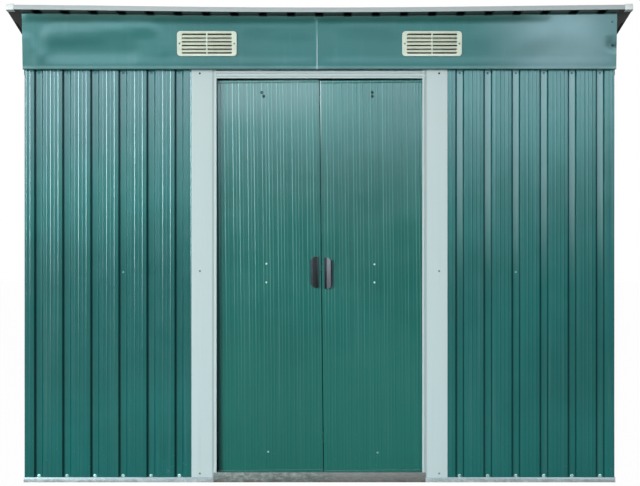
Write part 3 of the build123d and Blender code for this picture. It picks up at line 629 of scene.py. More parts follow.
def stained_zinc(name):
    """Weathered zinc: dull grey with mottled stains, scuffs and a rusty lower edge."""
    stain = tuple(bpy.context.scene.shed_finishes.stain)
    recipe = Recipe(name)
    place = recipe.place()
    x, _, z = recipe.axes(place)
    mottle = recipe.noise(recipe.stretched(place, (1.0, 1.0, 1.9)), 46.0, 8.0, 0.72, 0.6)
    colour = recipe.ramp(mottle, (0.30, dark(stain, 0.38)), (0.47, dark(stain, 0.84)), (0.60, PALE_STAIN),
                         (0.74, BARE_STAIN))
    scuffs = recipe.step(recipe.noise(recipe.stretched(place, (5, 5, 90)), 6.0, 5.0), 0.56, 0.70)
    colour = recipe.blend(scuffs * 0.35, colour, SCUFF)
    colour = recipe.blend(recipe.step(x, -0.02, 0.10) * 0.65, colour, WARM_STAIN)
    rust = recipe.step(recipe.noise(place, 30.0, 6.0, 0.7), 0.46, 0.62) * recipe.step(z, 0.012, 0.001)
    colour = recipe.blend(rust * 0.8, colour, RUST)
    return recipe.coat({"Base Color": colour, "Roughness": 0.50 + mottle * 0.25,
                        "Normal": recipe.bump(mottle, 0.0009, 0.5), "Metallic": 0.35 - rust * 0.35})


def moulded(name, colour, rough, grain, depth, tint=None, mark=None, shine=0.5):
    """Moulded plastic with a fine grain, faint flow marks and a little dirt on its face."""
    recipe = Recipe(name)
    place = recipe.place()
    clouds = recipe.noise(place, 26.0, 5.0, 0.6)
    shade = recipe.blend(recipe.step(clouds, 0.35, 0.70), colour, tint or dark(colour, 0.88))
    dirt = recipe.step(recipe.noise(place, 150.0, 5.0, 0.7), 0.60, 0.75)
    shade = recipe.blend(dirt * 0.18, shade, DIRT)
    if mark:
        shade = mark(recipe, recipe.axes(place), shade)
    return recipe.coat({
        "Base Color": shade, "Roughness": rough + clouds * 0.12,
        "Normal": recipe.bump(recipe.noise(place, grain, 2.0), 0.0002, depth), "Specular IOR Level": shine})


def screw_steel(name, colour, shine=0.85):
    """Plated screw heads with scratches and a dull bloom."""
    recipe = Recipe(name)
    cloud = recipe.noise(recipe.place(), 130.0, 5.0, 0.65)
    shade = recipe.blend(recipe.step(cloud, 0.42, 0.66), colour, dark(colour, 0.45))
    return recipe.coat({
        "Base Color": shade, "Roughness": 0.30 + cloud * 0.2, "Normal": recipe.bump(cloud, 0.0003, 0.4),
        "Metallic": shine - cloud * 0.2, "Specular IOR Level": 0.5 if shine > 0.5 else 0.08})


def finish(kind):
    """A named finish, mixed once."""
    paint = bpy.context.scene.shed_finishes
    made = {
        "front sheet": (green_paint, 0.18, 1.0, valleyed("x", 0.0, 1)),
        "rear sheet": (green_paint, 0.18, 1.0, valleyed("x", 0.0, -1)),
        "left sheet": (green_paint, 0.18, 1.0, valleyed("y", MIDDLE_Y, -1)),
        "right sheet": (green_paint, 0.18, 1.0, valleyed("y", MIDDLE_Y, 1)),
        "door sheet": (green_paint, 0.170, 0.7, leaf_painted_light, (1.2, 0.99, 0.90)),
        "fascia sheet": (green_paint, 0.34, 0.6, fascia_light_and_edge, (1.0, 0.87, 0.88)),
        "flat sheet": (green_paint, 0.32, 0.6, backed),
        "roof sheet": (green_paint, 0.34, 1.0, backed),
        "white paint": (white_paint,),
        "trim paint": (white_paint, True),
        "zinc": (zinc,),
        "coated zinc": (zinc, True),
        "dull zinc": (zinc, False, 0.25),
        "stained zinc": (stained_zinc,),
        "ivory plastic": (moulded, tuple(paint.ivory), 0.38, 500.0, 0.25),
        "black plastic": (moulded, tuple(paint.black), 0.42, 900.0, 0.15, (0.034, 0.042, 0.048), pull_painted_light, 0.28),
        "white plastic": (moulded, dark(paint.cream, 0.84), 0.36, 600.0, 0.2),
        "steel screw": (screw_steel, (0.36, 0.44, 0.44)),
        "pale screw": (screw_steel, (0.40, 0.56, 0.50)),
        "painted screw": (screw_steel, dark(tuple(paint.green), 0.8)),
        "dull screw": (screw_steel, (0.15, 0.34, 0.31), 0.25),
        "grey screw": (screw_steel, (0.20, 0.25, 0.22), 0.25),
        "dark screw": (screw_steel, (0.012, 0.022, 0.022), 0.25),
        # dark steel that stands for the shade in the door track
        "greasy steel": (screw_steel, (0.030, 0.034, 0.034)),
    }
    label = "shed " + kind
    if label not in bpy.data.materials:
        mix, *settings = made[kind]
        mix(label, *settings)
    return bpy.data.materials[label]


# Modelling moves


def deselect():
    """Back to object mode with nothing selected."""
    if bpy.context.mode != "OBJECT":
        bpy.ops.object.mode_set(mode="OBJECT")
    bpy.ops.object.select_all(action="DESELECT")


def hold(piece):
    """Selects one piece and nothing else."""
    deselect()
    piece.select_set(True)
    bpy.context.view_layer.objects.active = piece


def edit(piece, every=False):
    """Opens one piece in edit mode, with every part of it selected if asked."""
    hold(piece)
    bpy.ops.object.mode_set(mode="EDIT")
    if every:
        bpy.ops.mesh.select_all(action="SELECT")


def copied(piece):
    """A copy of a piece with its own mesh."""
    hold(piece)
    bpy.ops.object.duplicate()
    return bpy.context.object


def discard(piece):
    """Deletes a piece that has served its turn."""
    hold(piece)
    bpy.ops.object.delete()


def settle(piece):
    """Puts a piece's place, turn and scale into its mesh."""
    hold(piece)
    bpy.ops.object.transform_apply(location=True, rotation=True, scale=True)


def pick(piece, kind, test):
    """Selects the points, edges or faces of the open mesh that pass a test, and returns how many."""
    bpy.ops.mesh.select_mode(type=kind)
    bpy.ops.mesh.select_all(action="DESELECT")
    mesh = bmesh.from_edit_mesh(piece.data)
    parts = {"VERT": mesh.verts, "EDGE": mesh.edges, "FACE": mesh.faces}[kind]
    chosen = [part for part in parts if test(part)]
    for part in chosen:
        part.select_set(True)
    mesh.select_flush_mode()
    bmesh.update_edit_mesh(piece.data)
    return len(chosen)


def clear(piece, kind, test):
    """Deletes the points, edges or faces of the open mesh that pass a test."""
    pick(piece, kind, test)
    bpy.ops.mesh.delete(type=kind)


def middle(part):
    """Middle of an edge or face."""
    return sum((vert.co for vert in part.verts), Vector()) / len(part.verts)


def runs_along(part, axis):
    """True for an edge that runs along an axis: 0, 1 or 2 for X, Y or Z."""
    run = part.verts[1].co - part.verts[0].co
    return abs(run[axis]) > 0.9 * run.length


def lone_edge(start, end):
    """One edge from start to end, from a plane's side, open in edit mode and selected."""
    start, end = Vector(start), Vector(end)
    run = end - start
    deselect()
    bpy.ops.mesh.primitive_plane_add(size=run.length)
    piece = bpy.context.object
    edit(piece)
    clear(piece, "VERT", lambda vert: vert.co.x > 0)
    bpy.ops.mesh.select_all(action="SELECT")
    bpy.ops.transform.translate(value=(run.length / 2, 0, 0))
    hold(piece)
    piece.rotation_euler = run.to_track_quat("Y", "Z").to_euler()
    piece.location = (start + end) / 2
    settle(piece)
    edit(piece)
    bpy.ops.mesh.select_mode(type="EDGE")
    bpy.ops.mesh.select_all(action="SELECT")
    return piece


def folded(start, end, points):
    """A sheet bent along a section: the edge from start to end is drawn through the points, as steps from it."""
    piece = lone_edge(start, end)
    last = Vector(points[0])
    for point in points[1:]:
        bpy.ops.mesh.extrude_region_move(TRANSFORM_OT_translate={"value": Vector(point) - last})
        last = Vector(point)
    return piece


def cylinder(vertices, radius, depth, place):
    """A cylinder that lies along Y, with its middle at a place."""
    deselect()
    bpy.ops.mesh.primitive_cylinder_add(vertices=vertices, radius=radius, depth=depth, rotation=(pi / 2, 0, 0),
                                        location=place)
    piece = bpy.context.object
    settle(piece)
    return piece


def shaped(piece, kind, **settings):
    """Adds a modifier and applies it."""
    hold(piece)
    made = piece.modifiers.new(kind.lower(), kind)
    for key, value in settings.items():
        setattr(made, key, value)
    bpy.ops.object.modifier_apply(modifier=made.name)


def rounded(piece, width, segments=2, angle=12):
    """Rounds the bends of a piece."""
    shaped(piece, "BEVEL", width=width, segments=segments, limit_method="ANGLE", angle_limit=radians(angle),
           harden_normals=False)


def cut(piece, place, normal, ends=False):
    """Cuts the mesh by a plane and, if it ends there, drops what lies on the normal's side."""
    edit(piece, True)
    bpy.ops.mesh.bisect(plane_co=place, plane_no=normal, clear_outer=ends, threshold=1e-6)


def rows(piece, count, axis):
    """Divides every edge that runs along an axis."""
    edit(piece)
    pick(piece, "EDGE", lambda edge: runs_along(edge, axis))
    bpy.ops.mesh.subdivide(number_cuts=count)


def waved(piece, amount, size, direction, sign=1):
    """Puts a sheet slightly out of flat, outwards only."""
    label = "sheet waves {:.3f}".format(size)
    clouds = bpy.data.textures.get(label) or bpy.data.textures.new(label, "CLOUDS")
    clouds.noise_scale = size
    shaped(piece, "DISPLACE", texture=clouds, texture_coords="LOCAL", direction=direction,
           strength=amount * sign, mid_level=1.0)


def outward(piece, direction):
    """Turns an open sheet's faces so that most of them look along a direction."""
    edit(piece, True)
    bpy.ops.mesh.normals_make_consistent(inside=False)
    facing = sum((face.normal * face.calc_area() for face in bmesh.from_edit_mesh(piece.data).faces), Vector())
    if facing.dot(Vector(direction)) < 0:
        bpy.ops.mesh.flip_normals()
    deselect()


def sheeted(piece, thickness, waves=(), front=(0, -1, 0)):
    """Makes a sheet of an open shell: out of flat by its waves, and thickened behind its front."""
    deselect()
    if waves:
        waved(piece, *waves)
    outward(piece, front)
    shaped(piece, "SOLIDIFY", thickness=thickness, offset=-1.0, use_even_offset=True)


def mirrored(piece, name):
    """A copy of a piece with its own mesh, on the other side of the shed's middle."""
    other = copied(piece)
    other.name = name
    other.scale.x = -1
    settle(other)
    edit(other, True)
    bpy.ops.mesh.normals_make_consistent(inside=False)
    deselect()
    return other


def upright():
    """The right leaf's lowest and highest corners before it leans."""
    lean = bpy.context.scene.shed_door.lean
    near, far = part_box("right_door_sheet")
    span = far - near
    width = (span.x * cos(lean) - span.z * sin(lean)) / cos(2 * lean)
    tall = (span.z * cos(lean) - span.x * sin(lean)) / cos(2 * lean)
    centre, top = near.x + width / 2 * cos(lean), far.z - width / 2 * sin(lean)
    return Vector((centre - width / 2, near.y, top - tall)), Vector((centre + width / 2, far.y, top))


def swung(piece, side):
    """Swings a door's piece with its leaf, about the middle of the leaf's top edge."""
    near, far = upright()
    pivot = Vector((side * (near.x + far.x) / 2, 0, far.z))
    piece.rotation_euler = (0, -bpy.context.scene.shed_door.lean, 0)
    piece.location = pivot - piece.rotation_euler.to_matrix() @ pivot
    settle(piece)
    return piece


def joined(pieces):
    """Several meshes made one."""
    deselect()
    for piece in pieces:
        piece.select_set(True)
    bpy.context.view_layer.objects.active = pieces[0]
    bpy.ops.object.join()
    return bpy.context.object


def dressed(piece, name, body, kind, slot, nodes=()):
    """Names a finished piece, shades it, gives it its finish and sets it in the frame."""
    hold(piece)
    piece.name = name
    piece.data.name = name
    bpy.ops.object.shade_smooth_by_angle(angle=radians(35))
    piece.data.materials.clear()
    piece.data.materials.append(finish(kind))
    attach(piece, body)
    if nodes:
        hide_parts(*nodes)
    return piece


def hung(pieces):
    """Lets the middle of the roof's front edge hang a little, through one lattice round its front."""
    near, far = low("roof_trims_side"), high("roof_trims_side")
    floor_z, top_z = high("vent_left").z, high("fascia_left").z
    deselect()
    bpy.ops.object.add(type="LATTICE", location=(0, (near.y + far.y) / 2, (floor_z + top_z) / 2))
    cage = bpy.context.object
    cage.scale = (far.x - near.x, far.y - near.y, top_z - floor_z)
    grid = cage.data
    grid.points_u, grid.points_v, grid.points_w = 5, 2, 2
    grid.interpolation_type_v = grid.interpolation_type_w = "KEY_LINEAR"
    for reach, drop in ((0.30, 0.0090), (0.10, 0.0050)):
        deselect()
        for point in grid.points:
            point.select = abs(point.co.x) < reach and point.co.y < 0 < point.co.z
        edit(cage)
        bpy.ops.transform.translate(value=(0, 0, -drop))
    deselect()
    for piece in pieces:
        shaped(piece, "LATTICE", object=cage)
    discard(cage)


def softened(node, width, segments=2):
    """A merged copy of a CAD node whose bends and edges are rounded."""
    piece = copied(frame["nodes"][node])
    bpy.ops.object.parent_clear(type="CLEAR")
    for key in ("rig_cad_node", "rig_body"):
        del piece[key]
    edit(piece, True)
    bpy.ops.mesh.remove_doubles(threshold=1e-5)
    bpy.ops.mesh.dissolve_limited(angle_limit=radians(1))
    deselect()
    if width:
        rounded(piece, width, segments, 20)
    return piece


# The pieces, one operator each


class SHED_OT_wall_sheets(bpy.types.Operator):
    """Roll-formed wall sheets with rounded valleys and small ribs"""
    bl_idname = "shed.wall_sheets"
    bl_label = "Wall Sheets"

    def pitch_section(self, sizes):
        """Section of one pitch, from the middle of one flat to the middle of the next: along, inwards."""
        def ribs(start, places):
            crests = [start + place * sizes.rib_spacing for place in places]
            return [point for crest, height in zip(crests, (sizes.soft_rib, sizes.crisp_rib)) for point in (
                (crest - sizes.rib_width / 2, 0), (crest, -height), (crest + sizes.rib_width / 2, 0))]

        centre, foot = sizes.pitch / 2, sizes.floor / 2
        valley = [(centre - foot - sizes.flank, 0), (centre - foot, sizes.depth),
                  (centre + foot, sizes.depth), (centre + foot + sizes.flank, 0)]
        return [(0, 0)] + ribs(0, (0.5, 1.5)) + valley + ribs(sizes.pitch, (-1.5, -0.5)) + [(sizes.pitch, 0)]

    def sheet(self, node, face, along, half):
        """One sheet of a wall. The face is a point of its outer plane in the wall's middle."""
        sizes = bpy.context.scene.shed_sheet
        along = Vector(along)
        inward = Vector((-along.y, along.x, 0))
        face = Vector(face)
        ends = [(corner - face).dot(along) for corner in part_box(node)]
        start, end = min(ends), max(ends)
        first = floor((start + half) / sizes.pitch + 1e-4)
        count = ceil((end + half) / sizes.pitch - 1e-4) - first
        origin = face + along * (first * sizes.pitch - half)
        steps = [along * u + inward * v for u, v in self.pitch_section(sizes)]
        piece = folded(origin + Vector((0, 0, WALL_LOW)), origin + Vector((0, 0, WALL_TOP)), steps)
        rounded(piece, sizes.bend)
        shaped(piece, "ARRAY", count=count, use_relative_offset=False, use_constant_offset=True,
               constant_offset_displace=along * sizes.pitch, use_merge_vertices=True, merge_threshold=1e-5)
        cut(piece, face + along * start, -along, True)
        cut(piece, face + along * end, along, True)
        rows(piece, 11, 2)
        axis = 0 if abs(inward.x) > 0.5 else 1
        sheeted(piece, sizes.thickness, (sizes.waves, 0.30, "XY"[axis], inward[axis]), -inward)
        return piece

    def execute(self, context):
        half_depth = (REAR_Y - FRONT_Y) / 2
        for nodes, face, along, half, kind in (
            (("front_wall_left", "front_wall_right"), (0, FRONT_Y, 0), (1, 0, 0), SIDE_X, "front sheet"),
            (("rear_wall_left", "rear_wall_right"), (0, REAR_Y, 0), (-1, 0, 0), SIDE_X, "rear sheet"),
            (("left_wall",), (-SIDE_X, MIDDLE_Y, 0), (0, -1, 0), half_depth, "left sheet"),
            (("right_wall",), (SIDE_X, MIDDLE_Y, 0), (0, 1, 0), half_depth, "right sheet"),
        ):
            for node in nodes:
                sheet = self.sheet(node, face, along, half)
                dressed(sheet, node + "_sheet", "shed", kind, "green_paint", [node])
        return {"FINISHED"}


class SHED_OT_door_leaves(bpy.types.Operator):
    """Two ribbed door leaves with folded edges and flat hems"""
    bl_idname = "shed.door_leaves"
    bl_label = "Door Leaves"

    def execute(self, context):
        sizes, sheet = context.scene.shed_door, context.scene.shed_sheet
        near, far = upright()
        face, back = near.y + sizes.rib_height, far.y
        centre, groups = (near.x + far.x) / 2, int((far.x - near.x) / sizes.group_pitch)
        points = [(near.x, back), (near.x, face)]
        for group in range(groups):
            for rib in range(4):
                crest = centre + (group - (groups - 1) / 2) * sizes.group_pitch
                crest += (rib - 1.5) * sizes.rib_spacing
                height = sizes.rib_height * (1.0 if rib % 2 else 0.7)
                points += [(crest - sheet.rib_width / 2, face), (crest, face - height),
                           (crest + sheet.rib_width / 2, face)]
        points += [(far.x, face), (far.x, back)]
        top = far.z + sizes.lift
        fold, lap = 0.004, 0.0005
        leaf = folded((near.x, back, near.z), (near.x, back, top), [(x, y, 0) for x, y in points])
        rounded(leaf, sheet.bend)
        rows(leaf, 11, 2)
        sheeted(leaf, sheet.thickness, (0.0008, 0.35, "Y"))
        hems = []
        for level in (near.z, top - sizes.hem):
            proud = -fold - lap - sizes.rib_height
            hem = folded((near.x, face + fold, level), (far.x, face + fold, level),
                         [(0, 0, 0), (0, proud, 0), (0, proud, sizes.hem), (0, 0, sizes.hem)])
            rounded(hem, 0.0012, 3)
            rows(hem, 9, 0)
            sheeted(hem, sheet.thickness)
            hems.append(hem)
        leaf = joined([leaf] + hems)
        other = mirrored(leaf, "left_door_leaf")
        for piece, turn, side in ((leaf, 1, "right_door"), (other, -1, "left_door")):
            dressed(swung(piece, turn), side + "_leaf", side, "door sheet", "green_paint", [side + "_sheet"])
        return {"FINISHED"}


class SHED_OT_doorway(bpy.types.Operator):
    """Jambs with a raised lip, the stepped head cover and the stained sill round the doorway"""
    bl_idname = "shed.doorway"
    bl_label = "Doorway"
    thickness = 0.001

    def jamb(self):
        """The right jamb, with its return cut away in front of the track."""
        near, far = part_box("jamb_right")
        groove, slope, rise, dip = near.x + 0.008, 0.011, 0.0015, 0.002
        face = near.y
        piece = folded((far.x, face, near.z), (far.x, face, far.z), [
            (far.x, face, 0), (groove + slope, face, 0), (groove, face + dip, 0),
            (groove - rise, face, 0), (near.x, face, 0), (near.x, far.y, 0)])
        rounded(piece, 0.0005)
        rows(piece, 9, 2)
        top = low("door_track").z - GAP
        depth = low("door_track").y - GAP
        cut(piece, (0, 0, top), (0, 0, 1))
        cut(piece, (0, depth, 0), (0, 1, 0))
        clear(piece, "FACE", lambda made: middle(made).z > top and middle(made).y > depth)
        sheeted(piece, self.thickness, (0.0006, 0.4, "Y"))
        return piece

    def cover(self):
        """The stepped head cover. Its returns end at the jambs."""
        near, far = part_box("door_head_cover")
        step, bead, band = 0.0025, 0.006, 0.007
        piece = folded((near.x, far.y, near.z), (far.x, far.y, near.z), [
            (0, far.y, near.z), (0, near.y, near.z), (0, near.y, near.z + bead),
            (0, near.y + step, near.z + bead + step), (0, near.y + step, far.z - band - step),
            (0, near.y, far.z - band), (0, near.y, far.z), (0, far.y - GAP, far.z)])
        rounded(piece, 0.0008)
        edge = low("jamb_right").x - GAP
        depth = near.y + 0.0012
        cut(piece, (edge, 0, 0), (1, 0, 0))
        cut(piece, (-edge, 0, 0), (1, 0, 0))
        cut(piece, (0, depth, 0), (0, 1, 0))
        lower, upper = near.z + 0.002, far.z - 0.002
        clear(piece, "FACE", lambda made: abs(middle(made).x) > edge and middle(made).y > depth
              and not lower < middle(made).z < upper)
        rows(piece, 24, 0)
        sheeted(piece, self.thickness, (0.0006, 0.2, "Y"))
        return piece

    def execute(self, context):
        jamb = self.jamb()
        other = mirrored(jamb, "left_jamb")
        for piece, name, node in ((jamb, "right_jamb", "jamb_right"), (other, "left_jamb", "jamb_left"),
                                  (self.cover(), "head_cover", "door_head_cover")):
            dressed(piece, name, "shed", "white paint", "white_paint", [node])
        sill = softened("door_sill", 0.0005)
        dressed(sill, "sill", "shed", "stained zinc", "stained_galvanised", ["door_sill"])
        return {"FINISHED"}


class SHED_OT_fascia(bpy.types.Operator):
    """Dented fascia panels that lean out over the front wall"""
    bl_idname = "shed.fascia"
    bl_label = "Fascia"

    def crease(self, piece, x, z, to_x, to_z, push, reach):
        """Pushes a long dent in, or out, along a line on the panel's face, with a soft reach round it."""
        edit(piece)
        start, run, near = Vector((x, z)), Vector((to_x - x, to_z - z)), 0.0055

        def on_line(vert):
            spot = Vector((vert.co.x, vert.co.z))
            along = min(1.0, max(0.0, (spot - start).dot(run) / run.length_squared))
            return (spot - start - run * along).length < near

        if pick(piece, "VERT", on_line):
            bpy.ops.transform.translate(value=(0, push, 0), use_proportional_edit=True,
                                        proportional_edit_falloff="SMOOTH", proportional_size=reach)

    def panel(self, node, vent, creases):
        """One panel: a bent sheet with a fine grid, the opening for its vent, and its dents."""
        near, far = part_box(node)
        hem, fold, rise = near.y + FASCIA_LEAN + 0.012, 0.0124, far.z - near.z + 0.004
        piece = folded((near.x, hem, near.z), (far.x, hem, near.z), [
            (0, 0, 0), (0, -fold - 0.0004, 0), (0, -fold, 0.0035), (0, -fold - FASCIA_LEAN, rise)])
        rounded(piece, 0.0006)
        edit(piece)
        pick(piece, "EDGE", lambda edge: abs(edge.verts[0].co.z - edge.verts[1].co.z) > 0.1)
        bpy.ops.mesh.subdivide(number_cuts=23)
        rows(piece, 127, 0)
        hole_low, hole_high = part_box(vent)
        margin_x, margin_z = 0.016, 0.006
        left, right = hole_low.x + margin_x, hole_high.x - margin_x
        bottom, top = hole_low.z + margin_z, hole_high.z - margin_z
        for x in (left, right):
            cut(piece, (x, 0, 0), (1, 0, 0))
        for z in (bottom, top):
            cut(piece, (0, 0, z), (0, 0, 1))
        clear(piece, "FACE", lambda made: left < middle(made).x < right and bottom < middle(made).z < top)
        for line in creases:
            self.crease(piece, *line)
        if far.x < SIDE_X / 2:
            # The left panel's edge stands out a little at the joint
            cut(piece, (far.x - 0.0026, 0, 0), (1, 0, 0))
            pick(piece, "VERT", lambda vert: vert.co.x > far.x - 0.0002)
            bpy.ops.transform.translate(value=(0, -0.0012, 0))
        sheeted(piece, 0.0006)
        return piece

    def execute(self, context):
        # Each dent: from x, z to x, z, how far it is pushed inwards, and its reach
        left = [
            (-1.11, 1.796, -0.04, 1.796, -0.0052, 0.034), (-1.03, 1.716, -0.66, 1.744, -0.0040, 0.050),
            (-1.125, 1.700, -1.07, 1.636, -0.0030, 0.030), (-1.00, 1.646, -0.72, 1.650, 0.0034, 0.052),
            (-0.28, 1.742, -0.06, 1.738, -0.0014, 0.055), (-0.62, 1.716, -0.60, 1.660, -0.0020, 0.045),
            (-1.08, 1.606, -0.04, 1.606, -0.0012, 0.030)]
        right = [
            (0.0, 1.796, 0.86, 1.796, -0.0046, 0.030), (0.10, 1.742, 0.27, 1.740, -0.0012, 0.055),
            (0.62, 1.712, 1.00, 1.716, -0.0014, 0.070), (0.86, 1.710, 1.02, 1.660, -0.0034, 0.120),
            (1.112, 1.690, 1.120, 1.664, 0.0060, 0.022), (0.70, 1.640, 0.86, 1.700, -0.0012, 0.060),
            (0.04, 1.606, 1.10, 1.606, -0.0012, 0.030)]
        panels = []
        for node, vent, creases in (("fascia_left", "vent_left", left), ("fascia_right", "vent_right", right)):
            panels.append(dressed(self.panel(node, vent, creases), node + "_panel", "shed", "fascia sheet",
                                  "green_paint", [node]))
        hung(panels)
        return {"FINISHED"}


class SHED_OT_vents(bpy.types.Operator):
    """Louvred plastic vents with rounded frames, tilted slats and a middle bar"""
    bl_idname = "shed.vents"
    bl_label = "Vents"

    def cube(self, size):
        """A cube brought to a size, open in edit mode."""
        deselect()
        bpy.ops.mesh.primitive_cube_add(size=1)
        piece = bpy.context.object
        edit(piece, True)
        bpy.ops.transform.resize(value=size)
        return piece

    def bar(self, size, place, turn=0.0):
        """A bar of the vent, rounded along its edges."""
        piece = self.cube(size)
        bpy.ops.mesh.bevel(offset=0.0005, segments=2, affect="EDGES")
        deselect()
        piece.rotation_euler = (turn, 0, 0)
        piece.location = place
        settle(piece)
        return piece

    def grille(self, sizes):
        """The vent, lying with its back on the X-Z plane and its face to -Y."""
        rim = 0.0009
        plate = self.cube((sizes.width, sizes.depth, sizes.height))
        bpy.ops.transform.translate(value=(0, -sizes.depth / 2, 0))
        pick(plate, "EDGE", lambda edge: runs_along(edge, 1))
        bpy.ops.mesh.bevel(offset=sizes.corner, segments=7, affect="EDGES")
        pick(plate, "FACE", lambda made: made.normal.y < -0.9)
        bpy.ops.mesh.inset(thickness=rim, depth=0.0)
        pick(plate, "FACE", lambda made: made.normal.y < -0.9 and len(made.verts) > 4)
        border = (sizes.height - sizes.opening_height) / 2 - rim
        bpy.ops.mesh.inset(thickness=border, depth=0.0)
        stretch = sizes.opening_width / (sizes.width - 2 * border - 2 * rim)
        bpy.ops.transform.resize(value=(stretch, 1, 1))
        bpy.ops.mesh.extrude_region_move(TRANSFORM_OT_translate={"value": (0, sizes.depth, 0)})
        bpy.ops.mesh.delete(type="FACE")
        clear(plate, "FACE", lambda made: made.normal.y > 0.9)
        deselect()
        rounded(plate, 0.0010, 3, 50)
        lap, thick, deep, tilt = 0.002, 0.0018, 0.0112, radians(34)
        levels = [(i - (sizes.slats - 1) / 2) * sizes.slat_spacing for i in range(sizes.slats)]
        slats = [self.bar((sizes.opening_width + lap, thick, deep), (0, -sizes.depth / 2, level), -tilt)
                 for level in levels]
        middle_bar = self.bar((0.006, 2 * thick, sizes.opening_height + lap), (0, -0.0030, 0))
        return joined([plate] + slats + [middle_bar])

    def execute(self, context):
        sizes = context.scene.shed_vent
        base = self.grille(sizes)
        lean = atan2(FASCIA_LEAN, high("fascia_left").z - low("fascia_left").z)
        for node in ("vent_left", "vent_right"):
            piece = copied(base)
            near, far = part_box(node)
            piece.rotation_euler = (lean, 0, 0)
            settle(piece)
            face = min(vert.co.y for vert in piece.data.vertices)
            top = max(vert.co.z for vert in piece.data.vertices)
            piece.location = ((near.x + far.x) / 2, near.y - face - 0.0008, far.z - top)
            settle(piece)
            dressed(piece, node + "_grille", "shed", "ivory plastic", "ivory_plastic", [node])
        discard(base)
        return {"FINISHED"}


class SHED_OT_handles(bpy.types.Operator):
    """Pulls whose face falls from an outer ridge to a finger slot beside the meeting edge"""
    bl_idname = "shed.handles"
    bl_label = "Handles"

    def execute(self, context):
        sizes, door = context.scene.shed_pull, context.scene.shed_door
        back = low("right_door_sheet").y
        inner, outer = sizes.inset, sizes.inset + sizes.width
        bottom, top = sizes.middle - sizes.height / 2, sizes.middle + sizes.height / 2
        slot, rim, deep, chamfer = inner + 0.0015, 0.008, 0.003, 0.005
        section = [(inner, 0), (inner, rim), (slot, rim), (slot, deep), (slot + sizes.slot, deep),
                   (slot + sizes.slot, 0.007), (outer - 0.007, sizes.depth), (outer - chamfer, sizes.depth),
                   (outer, sizes.depth - chamfer), (outer, 0), (inner, 0)]
        pull = folded((inner, back, bottom), (inner, back, top), [(x, -out, 0) for x, out in section])
        bpy.ops.mesh.select_all(action="SELECT")
        bpy.ops.mesh.remove_doubles(threshold=1e-5)
        for level in (bottom, top):
            pick(pull, "EDGE", lambda edge: abs(middle(edge).z - level) < 1e-5)
            bpy.ops.mesh.edge_face_add()
            bpy.ops.mesh.select_all(action="SELECT")
            turn = 1 if level == top else -1
            bpy.ops.mesh.bisect(plane_co=(outer, 0, level - turn * sizes.corner), plane_no=(1, 0, turn),
                                clear_outer=True, use_fill=True)
        deselect()
        rounded(pull, 0.0009, 3, 25)
        outward(pull, (0, 0, 0))
        screws = []
        for off in (-0.018, 0.018):
            spot = (outer - 0.006, back - sizes.depth, sizes.middle + off)
            screws.append(cylinder(16, door.screw * 0.6, 0.0012, spot))
            rounded(screws[-1], 0.0003, 2, 40)
        pull = joined([pull] + screws)
        other = mirrored(pull, "left_handle")
        for piece, turn, side in ((pull, 1, "right"), (other, -1, "left")):
            dressed(swung(piece, turn), side + "_handle", side + "_door", "black plastic", "black_plastic",
                    [side + "_door_handle"])
        return {"FINISHED"}


class SHED_OT_roof(bpy.types.Operator):
    """Ribbed roof sheets, edge trims and moulded corner caps"""
    bl_idname = "shed.roof"
    bl_label = "Roof"

    def execute(self, context):
        pans = []
        for node in ("roof_sheet_left", "roof_sheet_middle", "roof_sheet_right"):
            piece = softened(node, 0.0012)
            rows(piece, 3, 0)
            rows(piece, 15, 1)
            pans.append(dressed(piece, node + "_pan", "shed", "roof sheet", "green_paint", [node]))
        front = softened("roof_trim_front", 0.0006)
        half = (low("roof_trim_front").z + high("roof_trim_front").z) / 2
        edit(front)
        pick(front, "VERT", lambda vert: vert.co.z < half)
        bpy.ops.transform.translate(value=(0, 0, 0.0015))  # its lower lip, a little higher than in the solid
        rows(front, 24, 0)
        dressed(front, "front_trim", "shed", "trim paint", "white_paint", ["roof_trim_front"])
        beams = softened("roof_beams", 0.0)
        rows(beams, 24, 0)
        bpy.ops.mesh.select_all(action="SELECT")
        bpy.ops.transform.translate(value=(0, 0, -0.0022))  # clear of the sheets above
        # the beam's front is painted dark as shade
        dressed(beams, "roof_beams_rolled", "shed", "coated zinc", "galvanised", ["roof_beams"])
        hung(pans + [front, beams])
        for node in ("roof_trim_rear", "roof_trims_side"):
            dressed(softened(node, 0.0006), node + "_fold", "shed", "trim paint", "white_paint", [node])
        caps = softened("roof_corner_caps", 0.0016, 3)
        dressed(caps, "corner_caps", "shed", "white plastic", "white_plastic", ["roof_corner_caps"])
        for node in ("gable_left", "gable_right"):
            dressed(softened(node, 0.0), node + "_panel", "shed", "flat sheet", "green_paint", [node])
        return {"FINISHED"}


class SHED_OT_base(bpy.types.Operator):
    """Folded base rails that the walls stand on"""
    bl_idname = "shed.base"
    bl_label = "Base Rails"

    def execute(self, context):
        for node in ("base_rail_front_left", "base_rail_front_right", "base_rail_rear", "base_rails_side"):
            dressed(softened(node, 0.0005), node + "_fold", "shed", "dull zinc", "galvanised", [node])
        return {"FINISHED"}


class SHED_OT_steelwork(bpy.types.Operator):
    """Finishes of the posts, rails, braces, track and door fittings"""
    bl_idname = "shed.steelwork"
    bl_label = "Steelwork"

    def execute(self, context):
        kinds = dict.fromkeys(("corner_posts", "door_posts", "door_track", "top_rails_side", "top_rail_rear",
                               "top_rail_front", "wall_braces", "door_floor_guide"), "zinc")
        # the hangers get a dark finish that stands for the shade in the track
        for fitting, kind in (("frame", "zinc"), ("rollers", "white plastic"), ("guides", "black plastic"),
                              ("hangers", "greasy steel")):
            kinds["left_door_" + fitting] = kinds["right_door_" + fitting] = kind
        for node, kind in kinds.items():
            mesh = frame["nodes"][node].data
            mesh.materials.clear()
            mesh.materials.append(finish(kind))
        return {"FINISHED"}


